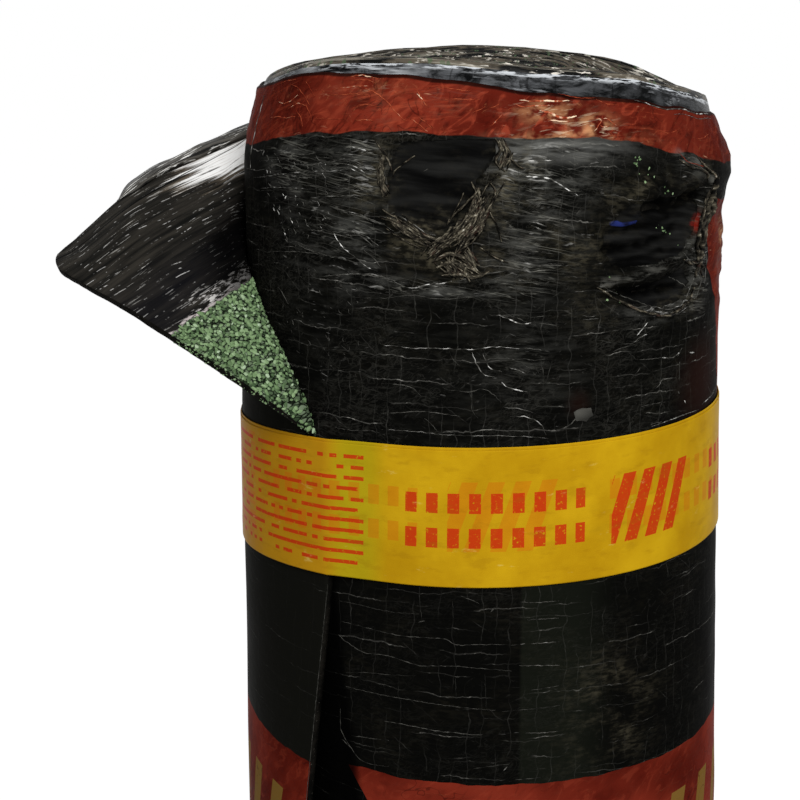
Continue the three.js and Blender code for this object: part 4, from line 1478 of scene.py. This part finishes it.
FILM_CREASE = crease_material("film_crease", tone(22, 22, 20), tone(84, 83, 78), tone(238, 237, 232))
STRIPE_CREASE = crease_material("stripe_crease", tone(110, 34, 22), tone(172, 84, 54),
                                tone(250, 226, 192))
WRAP_FILM = film_material("wrap_film", -0.0605, 0.70, "GREATER_THAN", 0.6, tone(8, 8, 7), -0.0680)
TAIL_FILM = film_material("tail_film", -0.0700, 0.0, "LESS_THAN", 0.12, tone(18, 18, 15), None)
INNER_FACE = selvedge_material()
CHIPPED_FACE = chip_surface_material()
CUT_EDGE = cut_edge_material()
TURN_CROWNS = crown_material()
PROUD_FILM = band_film_material()
SLATE_CHIP = chip_material()
TORN_STRANDS = strand_material()
ROLLED_RIM = lip_material()


PRINT_REPEAT = 0.150         # the bars and dashes come again this far round the tape
BAR_SPAN, BAR_ROWS = (0.006, 0.050), (0.014, 0.042)
DASH_SPAN, DASH_ROWS = (0.064, 0.138), ((0.017, 0.025), (0.031, 0.039))
LINES_SPAN, LINES_ROWS = (-0.150, -0.052), (0.003, 0.052)


def print_group():
    """Plain red print: runs of slanted bars and short dashes, and thin broken lines to the left."""
    given, out, tree = new_group("plain_print", {"Vector": None}, ["Print"])
    x, y = parts_of(given["Vector"])[:2]
    step = made_from("Math", {0: x + 10.0, 1: PRINT_REPEAT, 2: 0.0}, operation="WRAP")

    def window(value, span):
        return (value > span[0]) * (value < span[1])

    def every(value, pitch, share):
        return maths("FRACT", value / pitch) < share

    slanted = step + y * 0.35
    bars = every(slanted, 0.0105, 0.6) * (window(slanted, BAR_SPAN) * window(y, BAR_ROWS))
    rows = larger(*[window(y, row) for row in DASH_ROWS])
    dashes = every(step + 0.002, 0.0085, 0.55) * window(step, DASH_SPAN) * rows
    cells = made_from("VectorMath", {0: scaled(given["Vector"], 330.0, 230.0)}, operation="FLOOR")
    inked = made_from("TexWhiteNoise", {0: cells}, "Value") > 0.28
    aside = (x < LINES_SPAN[1]) * (x > LINES_SPAN[0])
    lines = every(y, 0.00435, 0.36) * inked * window(y, LINES_ROWS) * aside
    give(out["Print"], larger(lines, larger(bars, dashes) * (1.0 - aside)))
    return tree


PRINT = print_group()


def tape_material(name, second):
    """Yellow packing tape, printed plainly; the winding below shows faintly through it."""
    material, tree = new_material(name, tone(190, 140, 14), 0.3, 0.004)
    tape = sheet_of(tree)
    along = parts_of(tape)[0]
    cloud = noise_at(tape, 30.0, 4.0, 0.6)
    colour = blend(ramp_mask(cloud, 0.3, 0.75), tone(176, 133, 13), tone(200, 159, 21))
    doubled = ramp_mask(along, -0.058, -0.072)
    colour = blend(doubled * 0.6, colour, tone(168, 112, 20))
    greenish = between(along, -0.070, -0.060, -0.052, -0.040)
    colour = blend(greenish * 0.5, colour, tone(150, 150, 20))
    if second:
        below = made_from("VectorMath", {0: tape, 1: (0.067, 0.0016, 0.0)})
        ghost = use_group(PRINT, Vector=below)["Print"]
        colour = blend(ghost * 0.36, colour, tone(196, 84, 14))
    inked = use_group(PRINT, Vector=tape)["Print"]
    worn = ramp_mask(noise_at(tape, 700.0, 3.0, 0.6), 0.30, 0.42)
    colour = blend(inked * (worn * 0.92), colour, tone(186, 46, 16))
    grime = ramp_mask(grain_at(tape, 30.0, 90.0, 4.0, 0.65), 0.55, 0.85)
    colour = blend(grime * 0.30, colour, tone(96, 78, 20))
    # painted highlights on the tape's crinkles
    tape_glint = grain_at(tape, 55.0, 170.0, 5.0, 0.68)
    colour = blend(ramp_mask(tape_glint, 0.62, 0.72) * 0.35, colour, tone(224, 206, 120))
    crinkle = grain_at(tape, 70.0, 190.0, 4.0, 0.6)
    # painted shade where the crinkles' bump is low
    colour = blend(ramp_mask(crinkle, 0.46, 0.34) * 0.22, colour, tone(140, 96, 12))
    rough = cloud * 0.15 + 0.24
    return finished(material, colour, rough, crinkle, 0.5, 0.4 * MM)


FIRST_TAPE = tape_material("tape_first_winding", False)
SECOND_TAPE = tape_material("tape_second_winding", True)


# ---- the roll's outer turn

def sheet_uv(angle, spot):
    """Metres along and down the sheet; down is eased so that the stripe ends where it should."""
    wander = (RED_STRIPE - read_table(STRIPE, angle)) * (1 - smooth(0.020, 0.070, spot[1]))
    return (arc_at(angle), spot[1] + wander)


def paint_rows(bm, spots, material_of_row):
    for face in bm.faces:
        face.material_index = material_of_row(min(spots[vert][1] for vert in face.verts))


wrap_angles = ladder((-173, 3), (-95, 1.5), (-66, 0.75), (72, 1.5), (100, 3), (197, 0))
outer_depths = ladder((0.0012, 0.0009), (0.0039, 0.0014), (0.100, 0.0022), (0.136, 0.008),
                      (0.200, 0.0028), (0.345, 0.012), (0.997, 0))
wrap_section = [(THICKNESS, 0.9962), (THICKNESS, 0.5), (THICKNESS, 0.12), (THICKNESS, 0.0040),
                (2.95 * MM, 0.0012), (2.2 * MM, 0.0), (1.0 * MM, 0.0), (0.3 * MM, 0.0006)]
crown_rows = len(wrap_section)
wrap_section += [(0.0, depth) for depth in outer_depths]
foot_row = len(wrap_section) - 1
wrap_section += [(0.6 * MM, 0.9994), (1.4 * MM, 1.0), (2.6 * MM, 0.9990), (THICKNESS, 0.9962)]

wrap_masks = {"torn": tear_mask,
              "folded": lambda angle, depth: folds_at(angle, depth)[1],
              "scraps": print_mask,
              "gold": lambda angle, depth: spread(GOLD, angle, depth, 0.0),
              "brim_shadow": lambda angle, depth: 1 - smooth(0.0002, 0.0030, depth),
              "dusty": lambda angle, depth: spread(DUSTY, angle, depth, 0.03),
              "glint_and_sheen": lambda angle, depth: spread(GLINT_AND_SHEEN, angle, depth, 0.04)}
bm, spots = surface_grid(wrap_angles, wrap_section,
                         lambda angle, spot: wrap_point(angle, spot[1], spot[0]), sheet_uv,
                         {name: lambda angle, spot, mask=mask: mask(angle, spot[1])
                          for name, mask in wrap_masks.items()})
paint_rows(bm, spots, lambda row: 0 if crown_rows - 2 <= row <= foot_row else 1)
close_section(bm)
felt_wrap = make_piece("felt_wrap", bm, [WRAP_FILM, CUT_EDGE])
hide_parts("felt_roll")


# ---- the tail: its peeled corner, and the stretch held by the tape

def tail_spot(share, depth):
    """A point of the tail's outer face, rippled, by its share of the way to the cut edge."""
    angle = mix(TAIL_START, cut_edge_angle(depth), share)
    base = tail_point(angle, depth)
    wave = tail_ripple(angle, depth)
    if share < 0.14:
        wave = mix(wrap_relief(angle + 360, depth), wave, smooth(0.02, 0.12, share))
    return base + tail_normal(angle, depth) * wave


def tail_normal(angle, depth):
    wide, tall = 0.4, 0.0015
    low, high = max(depth - tall, 0.0), depth + tall
    along = tail_point(angle, depth) - tail_point(angle - wide, depth)
    down = tail_point(angle - wide, high) - tail_point(angle - wide, low)
    return down.cross(along).normalized()


def tail_uv(share, depth):
    return (arc_at(mix(TAIL_START, cut_edge_angle(depth), share)), depth)


tail_shares = ladder((0, 1 / 20), (0.10, 1 / 110), (1, 0))
tail_depths = ladder((0.0, 0.0017), (0.136, 0.005), (0.210, 0.009), (1.0, 0))
bm, _ = surface_grid(tail_shares, tail_depths, tail_spot, tail_uv)
felt_tail = make_piece("felt_tail", bm, [TAIL_FILM, INNER_FACE, CUT_EDGE])
add_film_skin(felt_tail, TAIL_SHEET, -1.0, 1, 2)


# ---- the turns seen at the two ends

RIBBON_START = END_ANGLE + 525   # degrees wound back, 8 short of where the outer turn starts
RIBBON_BORE = 3.6 * MM       # it ends this far from the bore
TURN_SECTION = [             # from the inner face over the crown to the outer: inset and depth
    (TURN_THICKNESS, EDGE_DEPTH), (TURN_THICKNESS, 0.0022), (1.9 * MM, 0.0004), (1.25 * MM, 0.0),
    (0.6 * MM, 0.0004), (0.15 * MM, 0.0020), (0.0, 0.0060), (0.0, EDGE_DEPTH),
    (TURN_THICKNESS, EDGE_DEPTH)]
PROUD_ROW = 5                # from this row on its outer face is film


def turn_ribbon(name, top):
    """The inner turns' edges at one end, as one ribbon wound from outside in."""
    last = (ROLL_RADIUS - BORE_RADIUS - RIBBON_BORE) / THICKNESS * 360
    wound_list = ladder((RIBBON_START, 6.0), (last, 0))

    def point(wound, spot):
        angle = END_ANGLE - wound
        inset, depth = spot
        arc = arc_at(wound)
        wander = 0.35 * MM * waver(arc / 0.035, 3.0, 8.0)
        radius = winding_radius(wound) - inset + wander
        if top:
            radius -= drawn_in(angle, radius, depth)
        uneven = 1.3 * MM * waver(arc / 0.045, 5.0, 2.0 if top else 6.0)
        uneven += 0.5 * MM * waver(arc / 0.009, 5.0, 4.0)
        if top:
            spot = place(angle, radius, depth)
            spot.z += rim_height(angle, radius) + uneven
            return spot
        spot = place(angle, radius, SHEET_WIDTH - depth)
        spot.z += 0.9 * MM + uneven * 0.6
        return spot

    def flat(wound, spot):
        return (arc_at(wound), spot[1])

    bm, spots = surface_grid(wound_list, TURN_SECTION, point, flat)
    paint_rows(bm, spots, lambda row: 1 if row >= PROUD_ROW or row == 0 else 0)
    close_section(bm)
    bmesh.ops.recalc_face_normals(bm, faces=bm.faces)
    return make_piece(name, bm, [TURN_CROWNS, PROUD_FILM])


turn_ribbon("turn_edges_top", True)
turn_ribbon("turn_edges_foot", False)


CORE_RADIUS = 96.9 * MM
CORE_ENDS = (0.012, SHEET_WIDTH - 0.013)


def wound_core():
    """The rest of the winding in one: its bore, and dark floors between the turns' edges."""
    bm = bmesh.new()
    inner, outer = BORE_RADIUS, CORE_RADIUS
    low, high = CORE_ENDS
    outline = [(inner, low), (inner, 0.25), (inner, 0.5), (inner, 0.75), (inner, high)]
    outline += [(mix(inner, outer, i / 8), high) for i in range(1, 8)]
    outline += [(outer, high), (outer, 0.75), (outer, 0.5), (outer, 0.25), (outer, low)]
    outline += [(mix(outer, inner, i / 4), low) for i in range(1, 4)]
    ring = [bm.verts.new(AXIS + Vector((radius, 0.0, height))) for radius, height in outline]
    edges = [bm.edges.new((ring[i], ring[(i + 1) % len(ring)])) for i in range(len(ring))]
    bmesh.ops.spin(bm, geom=ring + edges, cent=AXIS, axis=(0, 0, 1), angle=math.tau, steps=96,
                   use_merge=True)
    bmesh.ops.recalc_face_normals(bm, faces=bm.faces)
    for vert in bm.verts:
        if vert.co.z > high - 0.001:
            off = vert.co - AXIS
            angle = math.degrees(math.atan2(off.x, -off.y))
            vert.co.z += rim_height(angle, math.hypot(off.x, off.y))
    for face in bm.faces:
        if abs(face.normal.z) < 0.4:
            face.material_index = 1
    return make_piece("felt_core", bm, [TURN_CROWNS, CHIPPED_FACE])


wound_core()


# ---- loose chips on the peeled corner

def inner_spot(share, depth, proud=0.0):
    """A point of the tail's inner face, or standing proud of it."""
    angle = mix(TAIL_START, cut_edge_angle(depth), share)
    return tail_spot(share, depth) - tail_normal(angle, depth) * (TAIL_SHEET + proud)


CHIP_HALVES = ((0.45, 0.75), (0.35, 0.5), (0.22, 0.4))   # along, across and up, for a size of 1
CHIP_PITCH = 1.4 * MM
BARE_SPOTS = 0.12            # share of the chips that have come off
HEM_CHIPS = 9                # a few left on the selvedge, at this share and depth
HEM_SPOT = (0.42, 0.058)
EDGE_CHIPS = 150             # seen in the cut edge
MM_PER_DEGREE = 1.83         # along the outer turn


def add_chip(bm, layer, spot, normal, size, shade):
    chip = bmesh.ops.create_icosphere(bm, subdivisions=1, radius=1.0)
    spin = random.uniform(0, math.tau)
    side = normal.orthogonal().normalized()
    cross = normal.cross(side)
    first = side * math.cos(spin) + cross * math.sin(spin)
    second = normal.cross(first)
    tilt = random.uniform(-0.35, 0.35)
    up = (normal + first * tilt).normalized()
    long, wide, tall = [size * random.uniform(*span) for span in CHIP_HALVES]
    for vert in chip["verts"]:
        rough = random.uniform(0.68, 1.22)
        x, y, z = vert.co * rough
        vert.co = spot + first * (x * long) + second * (y * wide) + up * (z * tall)
        vert[layer] = shade


def chip_field():
    """Chips in rows over the peeled face, grit on the torn film, and chips in the cut edge."""
    bm = bmesh.new()
    layer = bm.verts.layers.float.new("shade")
    rows = int((PEEL_DEPTH + 0.002 - SELVEDGE) / CHIP_PITCH)
    for row in range(rows):
        base_depth = SELVEDGE + 0.001 + row * CHIP_PITCH
        peel = PEEL_ANGLE * max(1 - base_depth / PEEL_DEPTH, 0.0) ** PEEL_POWER + 14
        last = cut_edge_angle(base_depth)
        for step in range(int(arc_at(peel) / CHIP_PITCH)):
            depth = base_depth + random.uniform(-0.7, 0.7) * MM
            back = (step + random.uniform(0.1, 0.9)) * CHIP_PITCH
            angle = last - math.degrees(back / ROLL_RADIUS)
            share = (angle - TAIL_START) / (last - TAIL_START)
            if random.random() < BARE_SPOTS or share > 1 or depth < selvedge_depth(angle):
                continue
            normal = -tail_normal(angle, depth)
            spot = inner_spot(share, depth, random.uniform(0.0, 0.5) * MM)
            shade = clamped(random.gauss(0.5, 0.24))
            add_chip(bm, layer, spot, normal, random.uniform(1.2, 2.4) * MM, shade)
    for angle, level, spread_mm, count in GRIT:
        for _ in range(count):
            spot_angle = angle + random.gauss(0, spread_mm) / MM_PER_DEGREE
            spot_level = level + random.gauss(0, spread_mm)
            spot = wrap_point(spot_angle, depth_at(spot_angle, spot_level), 0.0)
            add_chip(bm, layer, spot, outward(spot_angle), random.uniform(0.5, 1.2) * MM,
                     random.uniform(0.1, 0.8))
    for _ in range(HEM_CHIPS):
        share, depth = HEM_SPOT[0] + random.gauss(0, 0.012), HEM_SPOT[1] + random.gauss(0, 0.0018)
        spot = inner_spot(share, depth, 0.2 * MM)
        add_chip(bm, layer, spot, Vector((0, -1, 0)), random.uniform(1.1, 2.0) * MM,
                 random.uniform(0.5, 1.0))
    for _ in range(EDGE_CHIPS):
        depth = random.uniform(SELVEDGE + 0.002, PEEL_DEPTH)
        spot = inner_spot(0.999, depth, 0).lerp(tail_spot(0.999, depth), random.random())
        add_chip(bm, layer, spot, outward(-20), random.uniform(0.8, 1.5) * MM, random.uniform(0.2, 0.9))
    piece = make_piece("slate_chips", bm, [SLATE_CHIP])
    piece.data.shade_flat()
    return piece


chip_field()


# ---- torn film, and the rolled rim of the peeled corner

def smooth_path(points, pitch):
    """Points about pitch apart, along a curve through all the given ones."""
    ends = [points[0] * 2 - points[1]] + points + [points[-1] * 2 - points[-2]]
    curve = []
    for i in range(1, len(ends) - 2):
        a, b, c, d = ends[i - 1:i + 3]
        steps = max(round((c - b).length / pitch), 2)
        for step in range(steps):
            t = step / steps
            curve.append(0.5 * (2 * b + (c - a) * t + (2 * a - 5 * b + 4 * c - d) * t * t
                                + (3 * b - a - 3 * c + d) * t ** 3))
    return curve + [points[-1]]


def on_wrap(spot, height):
    """A point over the outer turn, by arc and level in millimetres."""
    angle = math.degrees(spot.x * MM / ROLL_RADIUS)
    return wrap_point(angle, depth_at(angle, spot.y), 0.0) + outward(angle) * (height * MM)


def along_curve(curve):
    """Each spot of a curve, with the direction across it, the run up to it and its share of the way."""
    run = 0.0
    for i, spot in enumerate(curve):
        ahead = curve[min(i + 1, len(curve) - 1)] - curve[max(i - 1, 0)]
        run += (spot - curve[i - 1]).length if i else 0.0
        yield spot, Vector((-ahead.y, ahead.x)).normalized(), run, i / (len(curve) - 1)


def tapered(share, end):
    return math.sin(math.pi * min(max(share, end), 1 - end)) ** 0.5


FIBRES = 5                   # loose fibres to a wad
FIBRE_WIDTH = (0.35, 0.7)
STRAND_PITCH = 0.55          # along a strand, and across it, in mm
STRAND_COLUMN = 0.32


def torn_strands():
    """Film torn and crumpled into wads and strands: creased ribbons, with painted light on their crests
    and painted shade between them.
    """
    bm = bmesh.new()
    layer = bm.loops.layers.uv.new("sheet")
    shades = bm.verts.layers.float.new("shade")
    strands = list(STRANDS)
    for width, lift, path in STRANDS[:WADS]:
        for _ in range(FIBRES):
            first = random.randint(0, len(path) - 2)
            off_angle, off_level = random.gauss(0, 0.2 * width), random.gauss(0, 0.3 * width)
            fibre = [(a + off_angle + random.gauss(0, 0.3), d + off_level + random.gauss(0, 0.5))
                     for a, d in path[first:first + 4]]
            strands.append((random.uniform(*FIBRE_WIDTH), lift * random.uniform(0.8, 1.7), fibre))
    for number, (width, lift, path) in enumerate(strands):
        curve = smooth_path(flat_path(path), STRAND_PITCH)
        columns = max(round(width / STRAND_COLUMN), 4)
        coarse = smooth(1.6, 3.4, width)
        uneven = 0.35 + 0.45 * coarse
        rows = []
        for spot, side, run, share in along_curve(curve):
            ends = tapered(share, 0.03)
            halves = [width / 2 * ends * (1 + uneven * waver(run / 2.2, number * 3.1, z))
                      for z in (0, 9)]
            row = []
            for column in range(columns + 1):
                offset = column / columns * 2 - 1
                off = offset * halves[offset > 0]
                arch = math.sqrt(1 - offset * offset)
                at = Vector((run / 4.4 + 0.5 * off, off / 0.72, number * 7.7))
                crest = max(1 - abs(2.4 * noise.noise(at)), 0.0)
                fine = max(1 - abs(2.4 * noise.noise(at * 2.3)), 0.0)
                swell = 0.8 - 0.2 * coarse + (0.2 + 0.3 * coarse) * crest
                height = lift * ends * (0.3 + 0.7 * arch) * swell
                height += arch * (0.16 * min(width, 4.5) * crest + 0.12 * fine)
                vert = bm.verts.new(on_wrap(spot + side * off, max(height, 0.05)))
                # painted light and shade: pale on the crests, dark between them
                vert[shades] = 0.66 * crest ** 2.2 + 0.34 * fine ** 2
                row.append((vert, (run * MM, (number * 9 + off) * MM)))
            rows.append(row)
        for row, after in zip(rows, rows[1:]):
            for i in range(columns):
                corners = (row[i], row[i + 1], after[i + 1], after[i])
                face = bm.faces.new([vert for vert, _ in corners])
                for loop, (_, uv) in zip(face.loops, corners):
                    loop[layer].uv = uv
    bmesh.ops.recalc_face_normals(bm, faces=bm.faces)
    piece = make_piece("torn_strands", bm, [TORN_STRANDS])
    add_film_skin(piece, 0.25 * MM, 0.0)
    return piece


torn_strands()


def on_tail(spot, height):
    """A point over the tail, by the millimetres back from its cut edge and its depth."""
    depth = spot.y * MM
    last = cut_edge_angle(depth)
    angle = last - math.degrees(spot.x * MM / ROLL_RADIUS)
    share = (angle - TAIL_START) / (last - TAIL_START)
    return tail_spot(share, depth) + tail_normal(angle, depth) * (height * MM)


def add_crease(bm, layer, number, bright, width, curve, slot, lay):
    """One crease: a slim closed ridge, painted bright in dashes as a highlight."""
    rows = []
    for spot, side, run, share in along_curve(curve):
        taper = tapered(share, 0.04)
        spot = spot + side * (0.3 * waver(run / 1.6, number * 3.7, 1.0))
        half = width / 2 * taper * (1 + 0.6 * waver(run / 1.5, number * 5.1, 4.0))
        dash = 0.62 + 1.1 * waver(run / 2.3, number * 7.3, 9.0)
        dash += 0.5 * waver(run / 0.8, number * 2.9, 5.0)
        shade = bright * min(max(dash, 0.14), 1.0)
        row = [bm.verts.new(lay(spot + side * off, height))
               for off, height in ((-half, -0.12), (0.0, 0.16 + 0.1 * width), (half, -0.12))]
        for vert in row:
            vert[layer] = shade
        rows.append(row)
    faces = [bm.faces.new(rows[0]), bm.faces.new(rows[-1])]
    for row, after in zip(rows, rows[1:]):
        for i in range(3):
            faces.append(bm.faces.new((row[i], row[(i + 1) % 3], after[(i + 1) % 3], after[i])))
    for face in faces:
        face.material_index = slot


CREASE_PITCH = 0.8           # along a crease, in mm
# the edge of the tail below the tape as a crease, a painted highlight: mm back from it and depths
TAIL_EDGE = [Vector((0.35, level)) for level in (198.0, 240.0, 330.0)]
# short creases by chance: count, least and greatest angle, the same of level, brightness
SHORT_CREASES = ((64, (-62, -38), (28, 60), 0.9), (60, (-54, -28), (60, 112), 0.5))


def film_creases():
    """Creases of the film and the stripe, the tail's bright edge, and a bit of film stuck on."""
    bm = bmesh.new()
    layer = bm.verts.layers.float.new("shade")
    creases = [(bright, width, path, 0) for bright, width, path in FILM_CREASES]
    creases += [(bright, width, path, 1) for bright, width, path in STRIPE_CREASES]
    for count, angles, levels, dim in SHORT_CREASES:
        for _ in range(count):
            angle, level = random.uniform(*angles), random.uniform(*levels)
            path = [(angle, level)]
            for _ in range(random.randint(1, 3)):
                angle += random.gauss(0.2, 0.3)
                level += random.uniform(0.3, 0.9)
                path.append((angle, level))
            creases.append((dim * random.uniform(0.4, 1.0), random.uniform(0.35, 0.55), path, 0))
    for number, (bright, width, path, slot) in enumerate(creases):
        add_crease(bm, layer, number, bright, width, smooth_path(flat_path(path), CREASE_PITCH), slot,
                   on_wrap)
    add_crease(bm, layer, 900, 0.38, 0.4, smooth_path(TAIL_EDGE, 1.0), 0, on_tail)
    bit, base = [[bm.verts.new(on_wrap(spot, height)) for spot in flat_path(STUCK_BIT)]
                 for height in (0.5, -0.5)]
    sides = [(bit[i - 1], bit[i], base[i], base[i - 1]) for i in range(len(bit))]
    for vert in bit + base:
        vert[layer] = random.uniform(0.2, 0.5)
    for corners in [bit, base] + sides:
        bm.faces.new(corners)
    bmesh.ops.recalc_face_normals(bm, faces=bm.faces)
    return make_piece("film_creases", bm, [FILM_CREASE, STRIPE_CREASE])


film_creases()


RIM_SHARES = (0.30, 0.835)
RIM_SECTION = [              # up and out, in mm
    (-4.0, -0.3), (-3.8, 0.7), (-1.0, 1.3), (2.5, 1.2), (4.8, 0.5), (5.6, -0.8), (4.6, -2.2),
    (1.5, -3.2), (-0.8, -3.4), (-0.8, -1.2), (-4.0, -0.3)]


def rolled_rim():
    """Film rolled over the peeled corner's top edge, as far as it has stayed on."""
    first, last = RIM_SHARES
    shares = ladder((first, 1 / 190), (last, 0))

    def point(share, spot):
        angle = mix(TAIL_START, PEEL_END_ANGLE, share)
        edge = inner_spot(share, 0.0)
        rise = (tail_point(angle, 0.0) - tail_point(angle, 0.004)).normalized()
        arc = arc_at(angle)
        closing = math.sqrt(max(1 - smooth(last - 0.07, last, share), 0.01))
        size = mix(0.65, 1.0, smooth(0.36, 0.62, share)) * closing
        size *= 1 + 0.35 * waver(arc / 0.022, spot[0] / 3, 3.0)
        up, out = spot
        out += 0.9 * waver(arc / 0.012, up / 1.8, 7.0)
        return edge + rise * (up * size * MM) - tail_normal(angle, 0.001) * (out * size * MM)

    def flat(share, spot):
        return (share * 0.22, spot[0] * MM)

    bm, _ = surface_grid(shares, RIM_SECTION, point, flat)
    close_section(bm)
    bmesh.ops.recalc_face_normals(bm, faces=bm.faces)
    return make_piece("rolled_rim", bm, [ROLLED_RIM])


rolled_rim()


# ---- the tape

def tape_radius(angle):
    """Radius of what the tape lies on, by the degrees from -37 round to 323."""
    past = angle - END_ANGLE
    if past < TAPE_BRIDGE:
        far = winding_radius(360 - TAPE_BRIDGE)
        turned, span = math.radians(past), math.radians(TAPE_BRIDGE)
        near = ROLL_RADIUS * math.sin(turned)
        return ROLL_RADIUS * far * math.sin(span) / (near + far * math.sin(span - turned))
    return winding_radius(360 - past)


TAPE_RIM = 0.5 * MM
TAPE_DIP = 6.0 * MM          # it hangs lower on the left


def tape_winding(name, material, proud, shift):
    """One winding, its face proud of the roll's tape radius and shifted down."""
    angles = ladder((END_ANGLE, 1.5), (END_ANGLE + 360, 0))
    depths = ladder((0.0, TAPE_RIM), (TAPE_RIM, (TAPE_WIDTH - 2 * TAPE_RIM) / 9),
                    (TAPE_WIDTH - TAPE_RIM, TAPE_RIM), (TAPE_WIDTH, 0))

    def point(angle, down):
        front = angle if angle < 180 else angle - 360
        dip = TAPE_DIP * smooth(-30, -95, front) * (1 - smooth(-120, -175, front))
        depth = TAPE_TOP + down + shift + dip
        out = outward(angle)
        wave = 0.16 * MM * waver(out.x * 3, out.y * 3, down / 0.02)
        fine = 0.10 * MM * waver(out.x * 14, out.y * 14, down / 0.006 + proud * 900)
        radius = tape_radius(angle) + loosened(front, depth) + TAPE_GAP
        spot = place(angle, radius + proud + wave + fine, depth)
        spot.z += TAPE_TILT * (spot.x - AXIS.x)
        return spot

    def flat(angle, down):
        return (arc_at(angle if angle <= 180 else angle - 360), down)

    bm, _ = surface_grid(angles, depths, point, flat)
    bmesh.ops.remove_doubles(bm, verts=bm.verts, dist=0.01 * MM)
    piece = make_piece(name, bm, [material])
    add_film_skin(piece, TAPE_FILM)
    return piece


tape_band = tape_winding("tape_first_winding", FIRST_TAPE, 0.0, 0.0)
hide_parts("packing_tape")
tape_winding("tape_second_winding", SECOND_TAPE, 0.3 * MM, TAPE_SHIFT)


# ---- floor, light and camera

WHITE = (1, 1, 1, 1)


def floor_material():
    material, tree = new_material("floor", (0.85, 0.85, 0.85, 1.0), 0.9, 0.0)
    give(surface_of(material)["Emission Color"], WHITE)
    give(surface_of(material)["Emission Strength"], seen_directly(tree) * 0.66)
    return material


bm = bmesh.new()
bmesh.ops.create_grid(bm, x_segments=2, y_segments=2, size=250.0)
floor_mesh = bpy.data.meshes.new("floor")
bm.to_mesh(floor_mesh)
bm.free()
floor_mesh.materials.append(floor_material())
floor = bpy.data.objects.new("floor", floor_mesh)
bpy.context.scene.collection.objects.link(floor)

world = bpy.data.worlds.new("world")
world.use_nodes = True
bpy.context.scene.world = world
tree = world.node_tree
plain = tree.nodes["Background"]
give(plain.inputs["Color"], WHITE)
give(plain.inputs["Strength"], 0.40)
white = made(tree, "Background", {"Color": WHITE, "Strength": 1.0})
sky = made(tree, "MixShader", {0: seen_directly(tree), 1: Field(plain.outputs[0]), 2: white})
give(tree.nodes["World Output"].inputs["Surface"], sky)


def add_lamp(name, spot, target, size, power):
    lamp = bpy.data.lights.new(name, "AREA")
    lamp.size = size
    lamp.energy = power
    shown = bpy.data.objects.new(name, lamp)
    shown.location = spot
    shown.rotation_euler = (target - spot).to_track_quat("-Z", "Y").to_euler()
    bpy.context.scene.collection.objects.link(shown)


top = AXIS + Vector((0, 0, SHEET_WIDTH))
add_lamp("key", top + Vector((0.22, -1.2, 0.7)), top + Vector((0, 0, -0.1)), 0.5, 17.0)

camera_data = bpy.data.cameras.new("camera")
camera_data.sensor_width = 36.0
camera_data.lens = 36.0 * LENS_PIXELS / IMAGE_PIXELS
camera_data.clip_end = 900.0
camera = bpy.data.objects.new("camera", camera_data)
camera.location = AXIS + Vector((EYE.x, EYE.y, SHEET_WIDTH + EYE.z))
camera.rotation_euler = (math.radians(90 - PITCH), 0.0, 0.0)
bpy.context.scene.collection.objects.link(camera)
bpy.context.scene.camera = camera
bpy.context.scene.view_settings.view_transform = "Standard"
